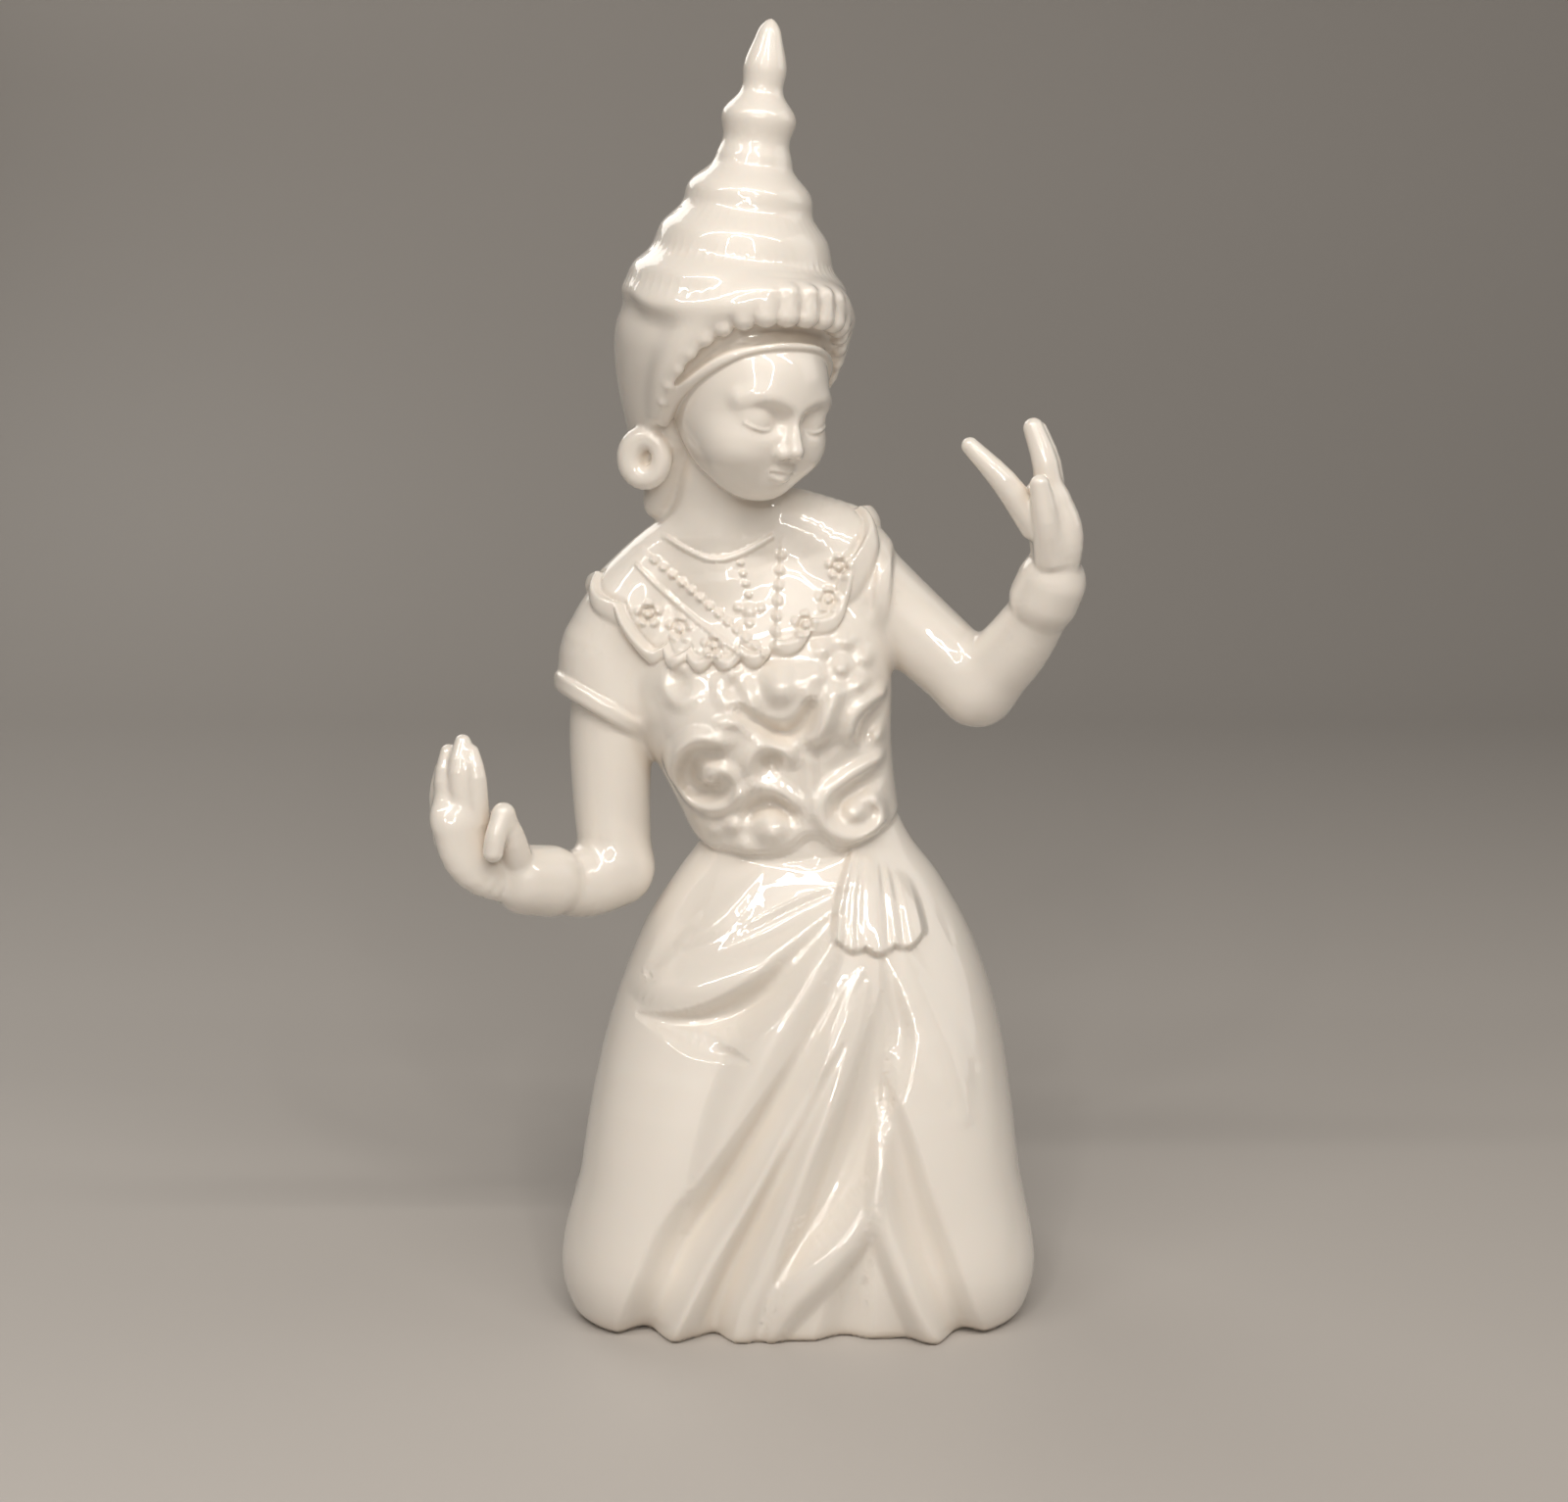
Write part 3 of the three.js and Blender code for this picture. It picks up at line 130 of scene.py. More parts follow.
def ellipsoid(cx, cy, cz, rx, ry, rz):
    def field(x, y, z):
        a, b, c = (x - cx) / rx, (y - cy) / ry, (z - cz) / rz
        k = np.sqrt(a * a + b * b + c * c)
        g = np.sqrt((a / rx) ** 2 + (b / ry) ** 2 + (c / rz) ** 2)
        return k * (k - 1) / np.maximum(g, 1e-6)
    return field


CULL = 12.0  # beyond this distance from its reach a limb isn't worked out exactly


def limb(rows, steps=5, normal=None, flat=1.0):
    """A round limb through rows of [x, y, z, radius], flattened along a normal if one is given."""
    n = np.array(normal, float) if normal is not None else np.zeros(3)
    if normal is not None:
        n /= np.linalg.norm(n)
    stretch = 1 / flat - 1

    n = n.astype(REAL)

    def place(x, y, z):
        if normal is None:
            return x, y, z
        s = (x * n[0] + y * n[1] + z * n[2]) * stretch
        return x + n[0] * s, y + n[1] * s, z + n[2] * s

    nodes = spline(rows, steps)
    nodes[:, :3] = np.stack(place(*nodes[:, :3].T.copy()), 1)
    nodes = nodes.astype(REAL)
    centre = nodes[:, :3].mean(0)
    reach = (np.linalg.norm(nodes[:, :3] - centre, axis=1) + nodes[:, 3]).max()

    def field(x, y, z):
        x, y, z = place(x, y, z)
        out = np.sqrt((x - centre[0]) ** 2 + (y - centre[1]) ** 2 + (z - centre[2]) ** 2) - reach
        near = out < CULL
        if near.any():
            x, y, z = x[near], y[near], z[near]
            best = np.full(x.shape, 1e9, REAL)
            for a, b in zip(nodes, nodes[1:]):
                u = b - a
                vx, vy, vz = x - a[0], y - a[1], z - a[2]
                t = np.clip((u[0] * vx + u[1] * vy + u[2] * vz) / (u[:3] @ u[:3]), 0, 1)
                d = np.sqrt((vx - u[0] * t) ** 2 + (vy - u[1] * t) ** 2 + (vz - u[2] * t) ** 2)
                np.minimum(best, d - (a[3] + u[3] * t), out=best)
            out[near] = best
        return out * flat
    return field


def placed(origin, yaw, pitch, roll):
    """A rigid frame that turns a point into (side, front, up). Angles are in degrees."""
    turn = Euler([math.radians(a) for a in (pitch, roll, yaw)], "XYZ").to_matrix()
    side, back, up = (np.array(turn.col[i], REAL) for i in range(3))
    front = -back

    def at(x, y, z):
        dx, dy, dz = x - origin[0], y - origin[1], z - origin[2]
        return [e[0] * dx + e[1] * dy + e[2] * dz for e in (side, front, up)]
    return at


def column(rows):
    """A column of rounded sections: [height, centre x, centre y, half width, half depth, squareness]."""
    at = profile(rows)

    def field(x, y, z):
        cx, cy, rx, ry, power = at(z)
        dx, dy = x - cx, y - cy
        rho = np.sqrt(dx * dx + dy * dy)
        q = (np.abs(dx / rx) ** power + np.abs(dy / ry) ** power) ** (1 / power)
        return np.where(q < 1e-3, -np.minimum(rx, ry), rho - rho / np.maximum(q, 1e-3))
    return field


def cut(px, py, pz, nx, ny, nz):
    n = np.array([nx, ny, nz], REAL)
    n /= np.linalg.norm(n)
    return lambda x, y, z: (x - px) * n[0] + (y - py) * n[1] + (z - pz) * n[2]


# Carving, drawn on the front view: ridges are positive, grooves negative
FADE = 1.5  # how fast a fading stroke gets lower as it gets narrower


def stroke(height, rows, steps=5, level=False, wide=1.0, fade=False):
    nodes = spline(rows, steps).astype(REAL)
    nodes[:, 2] *= wide
    pad = nodes[:, 2].max()
    low, high = nodes[:, :2].min(0) - pad, nodes[:, :2].max(0) + pad

    def relief(x, z):
        out = np.zeros(x.shape, REAL)
        near = (x > low[0]) & (x < high[0]) & (z > low[1]) & (z < high[1])
        if near.any():
            x, z = x[near], z[near]
            best, width = np.ones(x.shape, REAL), np.ones(x.shape, REAL)
            for a, b in zip(nodes, nodes[1:]):
                u = b - a
                vx, vz = x - a[0], z - a[1]
                t = np.clip((u[0] * vx + u[1] * vz) / (u[:2] @ u[:2]), 0, 1)
                w = np.maximum(a[2] + u[2] * t, REAL(0.05))
                d = np.sqrt((vx - u[0] * t) ** 2 + (vz - u[1] * t) ** 2) / w
                width = np.where(d < best, w, width)
                best = np.minimum(best, d)
            share = (width / pad) ** FADE if fade else 1
            out[near] = height * share * ((1 - ramp(best, 0.72, 1)) if level else (1 - best * best) ** 2)
        return out
    return relief


def carved(depth, strokes):
    return lambda x, z: depth * sum(s(x, z) for s in strokes)


def boss(height, x, z, r):
    """A round knob."""
    return stroke(height, [[x - 0.1, z, r], [x + 0.1, z, r]], 1)


def leaf(height, x0, z0, x1, z1, w):
    """A leaf from one point to another, widest in the middle."""
    return stroke(height, [[x0, z0, w * 0.6], [(x0 + x1) / 2, (z0 + z1) / 2, w], [x1, z1, w * 0.6]], 3)


FAR = 20.0


def inside_of(mask, field, x, y, z):
    """A field that is worked out only where the mask is set, and is far away elsewhere."""
    out = np.full(x.shape, FAR, REAL)
    if mask.any():
        out[mask] = field(x[mask], y[mask], z[mask])
    return out


# Skirt: the cloth over hips, thighs and calves
SKIRT = [
    # height, centre x, centre y, half width, half depth, squareness
    [-4, 0.6, 2, 38.5, 39.5, 2.5],
    [10, 1, 2, 41, 39.5, 2.5],
    [24, 1.2, 1.5, 41.4, 36.5, 2.4],
    [38, 1.3, 1.5, 40.2, 33, 2.3],
    [54, 1.6, 2, 37.2, 28.5, 2.2],
    [68, 1.8, 3, 32.3, 24.5, 2.1],
    [80, 1.8, 3.6, 25.6, 18, 2],
    [87, 1.6, 4, 20.4, 14, 2],
    [95, 1.5, 4, 16.5, 11.5, 2],
]
skirt_column = column(SKIRT)
legs = [blend(
    7,
    limb([[s * 13.5, 3, 62, 15.5], [s * 21.8, -11, 38, 17], [s * 27, -21.5, 9, 16.6]]),
    limb([[s * 29, -16, 11, 14.4], [s * 31.4, 6, 12, 13.2], [s * 28, 30, 9, 10.5]]),
) for s in (-1, 1)]
seat = ellipsoid(0.5, 19, 50, 27, 16, 24)


def fold(height, rows):
    """A fold that fades in and out: each end row is a narrow one."""
    return stroke(height, rows, wide=1.25, fade=True)


# The front fan: a roll of cloth is drawn across from the left hip to the sash, and long folds
# run down from the sash to the hem.
front_folds = carved(1, [
    fold(-1.1, [[9, 80, 0.6], [6, 79, 1.6], [-0.4, 76, 2.4], [-8, 72, 2.6], [-14.7, 69, 0.6]]),
    fold(1.8, [[8.3, 74.5, 1.2], [4, 72, 3], [-3.3, 68.1, 4.2], [-14.7, 63.8, 5], [-25, 61.7, 4],
               [-33, 61, 1.4]]),
    fold(-3.6, [[8, 76.5, 0.6], [4, 72.4, 2.2], [-1.1, 67.6, 3.2], [-5.9, 62.4, 4], [-14, 57.3, 4],
                [-22, 55.8, 2.6], [-30, 56.5, 0.8]]),
    fold(-1.1, [[-15.6, 84, 0.8], [-18.6, 78.4, 1.8], [-23, 71.6, 2.4], [-28.5, 64, 1]]),
    fold(0.8, [[-7, 83, 0.8], [-11.4, 78.4, 2], [-16.6, 73.6, 2.4], [-23, 69, 0.9]]),
    fold(-1, [[-26, 55, 0.5], [-21, 53, 1.6], [-15, 52, 1.8], [-9, 50.8, 0.5]]),
    fold(2.6, [[8.5, 73, 1], [5, 69, 3], [0.5, 63, 4.4], [-5, 54.5, 5.2], [-10.4, 44.5, 5],
               [-15.4, 32.5, 4], [-21, 20, 1.2]]),
    fold(-4.2, [[8, 63, 0.6], [4, 56, 2], [-0.4, 47.4, 3.2], [-7.6, 36.5, 4], [-14.2, 27.4, 4.6],
                [-21.2, 17.8, 5], [-27.2, 5, 4.8], [-29, -3, 4.6]]),
    fold(2.4, [[11.6, 66, 1], [8, 59.4, 2.6], [3.4, 51.6, 3.6], [-3.3, 38.6, 3.8], [-9.6, 27.4, 3.8],
               [-17, 15.2, 3.8], [-22.6, 3, 3.8], [-24.2, -3, 3.6]]),
    fold(-2, [[8.4, 54, 0.6], [4, 45.6, 2], [-1.4, 34.7, 2.6], [-8, 21.6, 3], [-14, 8, 3], [-16, -3, 3]]),
    fold(2.4, [[12.6, 64, 1], [10.4, 57, 2.8], [7.1, 49.2, 3.6], [2.4, 37, 4.2], [-1.4, 26.4, 4.2],
               [-6, 15, 4], [-10, 5, 3.8], [-11.4, -3, 3.6]]),
    fold(-4.4, [[15.5, 62, 0.6], [14.8, 54, 2.6], [12.8, 43.2, 4.6], [8.6, 32.2, 5.4], [4.3, 23.8, 4.6],
                [-0.8, 17, 2.6], [-4, 12, 0.8]]),
    fold(3, [[14.6, 32, 0.8], [13, 26.8, 2.6], [10, 21, 3.8], [4.5, 15, 4.4], [-1, 9, 4.2], [-4.4, 3, 3],
             [-6, -2, 1.6]]),
    fold(2.8, [[14.4, 38, 0.8], [14.8, 31, 2.4], [16, 21.5, 3.2], [19.8, 12, 3.6], [24.7, 0.6, 3.8],
               [26, -3, 3.6]]),
    fold(-3.4, [[15.8, 47, 0.6], [17.6, 39, 2.6], [20.6, 26, 3.8], [25, 13.5, 4.2], [30.6, 0, 3.6],
                [32, -3, 3]]),
    fold(-2.8, [[12.6, 18, 0.8], [11, 13, 2.6], [9.4, 7.6, 3.8], [8.2, 0, 4.6], [8.2, -3, 4.8]]),
    fold(-1.8, [[15.8, 69, 0.6], [17.2, 62, 2], [18.4, 54, 3], [17, 45, 2.6], [15.5, 40, 0.8]]),
    fold(0.8, [[19, 70, 1], [23, 60, 3.6], [28, 50, 4.2], [31, 40, 2]]),
    fold(-1.1, [[23.6, 88, 0.5], [25, 82, 1.4], [27.6, 76, 1.8], [29.6, 69, 0.5]]),
    fold(-1, [[-22.4, 84, 0.5], [-24.2, 79.4, 1.4], [-26.8, 74.8, 1.7], [-30, 69.6, 0.5]]),
])
# Plain folds of the back fall from the waist.
back_folds = carved(0.85, [
    stroke((-1.4, 1.5)[i % 2], [[x * 0.35, 84, 1.8], [x * 0.8, 55, 4], [x, 26, 4.8], [x * 1.1, -4, 4.6]])
    for i, x in enumerate([-27, -17, -6, 5, 16, 27])])


def skirt_below(x, y, z):
    d = smooth_min(skirt_column(x, y, z), seat(x, y, z), 8)
    d = smooth_min(d, smooth_min(legs[0](x, y, z), legs[1](x, y, z), 8), 6)
    d = d - front_folds(x, z) * ramp(-y, 4, 16) - back_folds(x, z) * ramp(y, 6, 18)
    return smooth_max(smooth_max(d, z - 94, 3), -z - 0.3, 2.5)


def skirt(x, y, z):
    return inside_of(z < 110, skirt_below, x, y, z)


# The soles show behind, under the hem, with the toes side by side.
feet = nearest(*[blend(
    1.2,
    limb([[s * 17, 34, 7.5, 7], [s * 16.5, 43, 6.5, 6.4], [s * 16, 50, 5, 5.2]],
         normal=[0, 0.25, 1], flat=0.75),
    *[ball(s * (12.4 + 2.3 * i), 53 - 0.5 * i, 3.6, 1.9 - 0.12 * i) for i in range(5)],
) for s in (-1, 1)])


# Torso, in a frame that leans towards the dancer's right
TORSO_LEAN = 14.5
torso_frame = placed([1.5, 4, 84], 0, 0, -TORSO_LEAN)
torso_column = column([
    [-2, 0, 0, 19.4, 16.8, 2.1],
    [8, 0, 0, 20.2, 16.6, 2.1],
    [18, 0, 0.5, 21.8, 16.2, 2.2],
    [30, 0.3, 1, 24.5, 17, 2.3],
    [41, 1, 0.5, 25, 15, 2.4],
    [50, 2.6, -1, 23, 11.5, 2.2],
    [57, 2.4, -2, 15.5, 9, 2],
    [63, 1, -2, 9, 7, 2],
])
bust = blend(4, *[ellipsoid(s * 9.5, 12.5, 29.5, 9, 6.2, 7.5) for s in (-1, 1)])


def bodice_hem(x, y, z):
    return (z - 83.2 - 0.0135 * (x + 4.5) ** 2 - 0.05 * (y + 17)) * 0.9


def ring(height, x, z, radius, width):
    """A round ridge or groove about a point."""
    turn = np.arange(13) * math.pi / 6
    rows = [[x + radius * math.cos(a), z + radius * math.sin(a), width] for a in turn]
    return stroke(height, rows, 2)


def rosette(height, x, z, petals, radius, size):
    """A round flower: a heart, a groove round it and petals."""
    turns = np.arange(petals) * 2 * math.pi / petals + 0.3
    return [boss(height, x, z, size), ring(-0.8, x, z, radius * 0.6, 0.9)] + [
        boss(height, x + radius * math.cos(a), z + radius * math.sin(a), size) for a in turns]


# Flowers, leaves and scrolls of the bodice, from the collar down
bodice_relief = carved(1.25, [
    boss(1.4, -22.4, 122.6, 2.3),
    boss(-1.1, -22.2, 119.6, 1.8),
    stroke(1.1, [[-25.2, 121.4, 1.1], [-25.4, 117.8, 1.5], [-22, 115.4, 1.6], [-19.2, 117.6, 1.3]]),
    boss(1.4, -12.5, 121.4, 2.3),
    boss(-1, -12.2, 118.4, 1.5),
    stroke(0.9, [[-14.8, 119.4, 1.1], [-14.2, 116.2, 1.4], [-11, 115.6, 1.1]]),
    boss(2.5, -3.5, 119, 4.8),
    leaf(1.5, -9.8, 119, -8, 114.6, 2.2),
    leaf(1.3, 1, 121.2, 2, 116.8, 2),
    stroke(-2.5, [[-11.5, 114.4, 1], [-7.4, 111.4, 2], [-2.6, 109.8, 2.7], [0.8, 112, 2.4],
                  [2.6, 115.6, 1.2]]),
    leaf(1.9, 6.4, 116.2, 3.4, 108.8, 2.6),
    stroke(-1.2, [[1.2, 107.4, 1], [3.6, 106.2, 1.5], [6.4, 107.8, 1.2]]),
    *rosette(1.5, 8, 122.4, 6, 4.6, 2.1),
    stroke(1.4, [[18.8, 117.2, 1.2], [14.4, 116.4, 1.9], [10.6, 113.4, 1.9], [9.8, 109, 1.4]]),
    stroke(-2, [[18.6, 114, 1.1], [15.8, 113, 2], [13.1, 111, 2.2], [12.2, 108, 1.5]]),
    boss(1.3, 15.8, 108.4, 2.4),
    stroke(2, [[-13.6, 108.8, 1.3], [-19.3, 109.4, 1.8], [-23.6, 105.4, 1.9], [-24.2, 100.4, 1.9],
               [-21.4, 96.2, 1.9], [-16.6, 94.9, 1.8], [-12.6, 96.6, 1.7], [-11.4, 99.8, 1.6],
               [-13.3, 102.8, 1.6], [-16, 102.6, 1.4], [-16.6, 101, 1.3]]),
    stroke(-2, [[-14.8, 106.2, 1.2], [-19.3, 105.4, 2], [-20.5, 101, 2], [-18.4, 98.4, 1.6],
                [-15.6, 98.6, 1.2]]),
    stroke(1.4, [[-15, 111.6, 1.2], [-10.8, 112.8, 1.9], [-6.6, 109.8, 1.6]]),
    stroke(1.6, [[-8.6, 100.6, 1.2], [-9.6, 104.2, 1.9], [-7, 107.8, 2], [-3, 107.4, 1.6],
                 [-1.4, 104.6, 1.2]]),
    boss(-1.8, -5, 104.4, 2.3),
    stroke(1.5, [[-11.4, 97.4, 1.3], [-8, 99.8, 1.8], [-4, 99.4, 1.9], [0, 96.6, 1.5]]),
    stroke(-2.3, [[-9.6, 93.8, 1.2], [-7, 95.9, 1.8], [-4, 96, 1.8], [-0.8, 93.6, 1.1]]),
    boss(2.1, -5, 91.2, 3.6),
    boss(1.6, -12.6, 92, 2.3),
    boss(1.4, -10.4, 88.2, 2),
    boss(1.2, -16, 90.6, 1.7),
    stroke(1.1, [[1.9, 107, 1], [2.2, 100, 1.4], [2.2, 94, 1.2]]),
    stroke(1.8, [[18.6, 105, 1.3], [14, 103.8, 1.9], [9, 101.2, 2.1], [5, 98, 2], [4.4, 94, 1.9],
                 [7, 90.8, 1.8], [11.4, 89.8, 1.7], [15.4, 91.4, 1.6], [16.4, 94.4, 1.5], [14, 96.8, 1.4]]),
    stroke(-1.9, [[18.8, 101.6, 1], [14.2, 100.2, 1.7], [10.2, 98, 1.7], [7.8, 96.4, 1.5], [7.4, 94, 1.3]]),
    boss(1.5, 11, 94.2, 2.3),
    stroke(-1.3, [[-15, 85.4, 1.4], [-10, 84.6, 1.8], [-4.6, 84.6, 2.4], [0, 85.8, 2.9], [2.8, 87.6, 3.2],
                  [5, 86.6, 2.6], [9, 86, 2], [14, 87.6, 1.8], [19.5, 91.4, 1.4]], level=True),
])


# The thick glaze rounds the carving off: its height is the mean over a small round of places.
GLAZE_REACH = 1.15
GLAZED = [(0, 0), (0, 0)] + [
    (GLAZE_REACH * math.cos(math.radians(a)), GLAZE_REACH * math.sin(math.radians(a)))
    for a in range(0, 360, 45)]


def glazed(relief, x, z):
    return sum(relief(x + REAL(a), z + REAL(b)) for a, b in GLAZED) / len(GLAZED)


def bodice_near(x, y, z):
    u, v, w = torso_frame(x, y, z)
    d = smooth_min(torso_column(u, v, w), bust(u, v, w), 6)
    d = d - glazed(bodice_relief, x, z) * ramp(-y, 2, 9)
    return smooth_max(smooth_max(d, -bodice_hem(x, y, z), 2), w - 62, 3)


def bodice(x, y, z):
    return inside_of((z < 165) & (z > 66), bodice_near, x, y, z)


# Shoulders, arms and sleeves
shoulders = blend(
    5,
    limb([[-12, 5, 149, 6], [-24, 5, 140.5, 7], [-34, 4.5, 130, 8]]),
    limb([[-12, 5, 150, 6], [0, 5, 146.2, 7], [9, 5, 142, 8.4]]))
right_arm = blend(
    2.5,
    limb([[-33, 4.5, 124, 9], [-36, 4, 110, 8.2], [-36.2, 3, 96, 7.6], [-35.4, 1, 83, 7]]),
    limb([[-35.2, 1, 80.8, 7], [-41, -3, 79.4, 6.8], [-47, -7, 79.8, 5.6]]))
right_sleeve = limb([[-31, 4.5, 128.6, 8.4], [-36.4, 4.8, 123.6, 9.4], [-36.2, 4.5, 114, 10]])
left_arm = blend(
    2.5,
    limb([[11, 5, 138, 8.6], [21, 4, 129, 8], [34.4, 1, 117, 7.4]]),
    limb([[34.4, 1, 117, 7.2], [41, -4, 125, 6.6], [46.2, -9, 134, 5.4]]))
left_sleeve = limb([[8, 4.5, 139, 8.6], [13, 4.5, 135.4, 9.6]])
# The sleeve hems are cut by planes: a point on the plane, and the way the arm leaves.
right_hem = cut(-38, 4, 110.6, -0.5, -0.15, -0.82)
left_hem = cut(17.4, 4, 137, 0.98, 0, -0.06)


def cuff(d, hem):
    """A sleeve that ends at its hem in a raised band."""
    sleeve = smooth_max(d, hem, 1.2)
    band = smooth_max(d - 0.9, np.abs(hem + 1.4) - 1.5, 1)
    return smooth_min(sleeve, band, 1)


def sleeves(x, y, z):
    return np.minimum(
        cuff(right_sleeve(x, y, z), right_hem(x, y, z)),
        cuff(left_sleeve(x, y, z), left_hem(x, y, z)))


# Bangles: a fat ring round each wrist
bangles = nearest(
    limb([[-47.6, -8.2, 80.7, 6.9], [-51.6, -10.7, 81.5, 6.7]], steps=3),
    limb([[45.9, -9.8, 135, 6.6], [47, -11, 138, 6.5]], steps=3))


# Hands: a flat palm, four fingers that lie together, and a thumb
def finger(rows):
    return limb(rows, steps=3)


right_hand = blend(
    1.0,
    limb([[-53, -12, 81.5, 4.8], [-60, -15, 86.5, 6.6], [-63, -16, 94, 6.2]],
         normal=[0.5, -0.75, 0.4], flat=0.6),
    finger([[-60, -16.4, 94, 2.4], [-60, -16.8, 102, 2], [-61, -15.4, 106.6, 1.6]]),
    finger([[-62.4, -16.4, 94, 2.4], [-63.2, -16.6, 103, 2.1], [-62.6, -14.6, 108.4, 1.6]]),
    finger([[-65, -15.8, 92, 2.3], [-66, -15.6, 101, 2], [-65.4, -13.6, 106.4, 1.6]]),
    finger([[-66.4, -14.6, 90, 2.1], [-67.4, -14, 98, 1.8], [-66.8, -12.4, 103, 1.5]]))
right_thumb = blend(
    1.2,
    finger([[-52.6, -13.4, 84, 3], [-53.4, -16.6, 90, 2.7], [-54.8, -18.4, 95.4, 2]]),
    finger([[-54.8, -18.6, 95.6, 2], [-56, -20.4, 92, 2], [-56.6, -20.8, 88.8, 1.9]]))
left_hand = blend(
    1.0,
    limb([[47.4, -12, 140, 4.8], [47.4, -14, 147, 5.8], [45.6, -14.4, 152.5, 5.4]],
         normal=[0.75, 0.6, 0.15], flat=0.72),
    finger([[46, -16, 152, 2.6], [45, -16.2, 160, 2.4], [42.8, -15.2, 166.6, 1.9]]),
    finger([[47, -13, 152, 2.5], [46, -12.8, 160, 2.3], [44, -11.8, 166, 1.8]]),
    finger([[48, -10, 150, 2.3], [47, -9.4, 157, 2], [45, -8.4, 162.4, 1.6]]),
    finger([[43.4, -15.4, 149, 3], [37.4, -16.8, 157, 2.4], [31.2, -16, 163.4, 1.6]]))
left_thumb = finger([[46.4, -15.4, 143, 3.2], [45, -18.8, 150, 2.5], [43.6, -20, 156.6, 1.8]])


def arms(x, y, z):
    d = np.minimum(right_arm(x, y, z), left_arm(x, y, z))
    d = smooth_min(d, sleeves(x, y, z), 0.8)
    d = smooth_min(d, np.minimum(right_hand(x, y, z), left_hand(x, y, z)), 1.5)
    d = smooth_min(d, np.minimum(right_thumb(x, y, z), left_thumb(x, y, z)), 1)
    return smooth_min(d, bangles(x, y, z), 0.8)


# Head, in a frame that looks to the dancer's left and down: side, front, up
HEAD = placed([-13, 0, 170], 36, 10, 3)
face = blend(
    3,
    ellipsoid(0, 4.5, 5, 14, 17.8, 16),
    ellipsoid(0, 8.3, -2.8, 12.4, 12.4, 11.2),
    ellipsoid(0, 11.4, -9.4, 6.8, 7.3, 5.6))
cheeks = nearest(*[ellipsoid(s * 6.2, 12.8, -4.2, 5.8, 6.3, 5.4) for s in (-1, 1)])
brows = nearest(*[
    limb([[s * 2.8, 19.9, 4, 0.8], [s * 6.2, 19, 5.4, 0.8], [s * 9.6, 16.6, 4.4, 0.6]])
    for s in (-1, 1)])
nose = blend(
    1.1,
    limb([[0, 20.2, 5, 1.1], [0, 20.9, 1.4, 1.05], [0, 21.9, -1.8, 1.25], [0, 22.4, -3.7, 1.6]]),
    ball(1.6, 21.2, -4.5, 1.15),
    ball(-1.6, 21.2, -4.5, 1.15))
nostrils = nearest(*[ellipsoid(s * 1, 22, -5.7, 0.5, 0.7, 0.45) for s in (-1, 1)])
sockets = [ellipsoid(s * 5.6, 21.9, 1.3, 4.2, 2.9, 2.7) for s in (-1, 1)]
EYES = {"side": 5.6, "front": 15.6, "up": 1, "radius": 4.25}


def lid_line(side, ups, thickness):
    """An arc over the eyeball: its heights in degrees are given at even steps from the nose out."""
    r, rows = EYES["radius"], []
    for across, up in zip((-52, -26, 0, 26, 52), ups):
        a, b = math.radians(across), math.radians(up)
        rows.append([side * (EYES["side"] + r * math.sin(a) * math.cos(b)),
                     EYES["front"] + r * math.cos(a) * math.cos(b),
                     EYES["up"] + r * math.sin(b), thickness])
    return limb(rows, steps=4)


eyeballs = nearest(*[ball(s * EYES["side"], EYES["front"], EYES["up"], EYES["radius"]) for s in (-1, 1)])
lid_edges = nearest(*[lid_line(s, (-12, -19, -22, -18, -9), 0.36) for s in (-1, 1)])
lips = blend(
    0.5,
    limb([[-2.9, 18.3, -8.1, 0.4], [-1.3, 19.6, -7.75, 0.75], [0, 19.9, -7.95, 0.7], [1.3, 19.6, -7.75, 0.75],
          [2.9, 18.3, -8.1, 0.4]], steps=3),
    limb([[-2.4, 18.3, -8.7, 0.4], [0, 19.5, -9.35, 0.95], [2.4, 18.3, -8.7, 0.4]]))
mouth = limb([[-2.5, 19.3, -8.25, 0.1], [-1.3, 20.3, -8.45, 0.2], [0, 20.7, -8.6, 0.22],
              [1.3, 20.3, -8.45, 0.2], [2.5, 19.3, -8.25, 0.1]], steps=3)


def face_front(u, v, w):
    d = smooth_min(face(u, v, w), cheeks(u, v, w), 3)
    d = smooth_min(d, brows(u, v, w), 3)
    d = smooth_min(d, nose(u, v, w), 1.7)
    for socket in sockets:
        d = smooth_max(d, -socket(u, v, w), 2.4)
    d = smooth_min(d, eyeballs(u, v, w), 0.7)
    d = smooth_min(d, lid_edges(u, v, w), 0.45)
    d = smooth_max(d, -nostrils(u, v, w), 0.5)
    d = smooth_min(d, lips(u, v, w), 1)
    return smooth_max(d, -mouth(u, v, w), 0.4)


# Hair: a smooth, full cap with a rolled edge round the face
cap_column = column([
    [-20, 0, -11, 8, 8, 2],
    [-13, 0, -8.5, 11.6, 12, 2],
    [-6, 0, -6.5, 15.2, 16.4, 2],
    [2, 0, -5, 18.4, 19.6, 2.1],
    [10, 0, -4, 20.6, 21, 2.1],
    [15, 0, -3.6, 20.3, 20.4, 2.1],
    [19, 0, -3, 18.6, 18.6, 2],
    [24, 0, -2, 15, 15, 2],
])
HAIRLINE = [[-24, -8], [-17, -6.4], [-10, -4.6], [-5, -2.6], [0, 1.9], [6, 8.1], [12, 14.4], [20, 22.7]]
hairline = profile(HAIRLINE)
BAND = [[0, 19.6, 18, 1.9], [5.4, 18.6, 17.4, 1.9], [10, 15.8, 15.6, 1.8], [13.4, 12.2, 12.4, 1.5],
        [15.5, 8.6, 8.4, 1.1], [16.6, 5.6, 4.8, 0.3]]
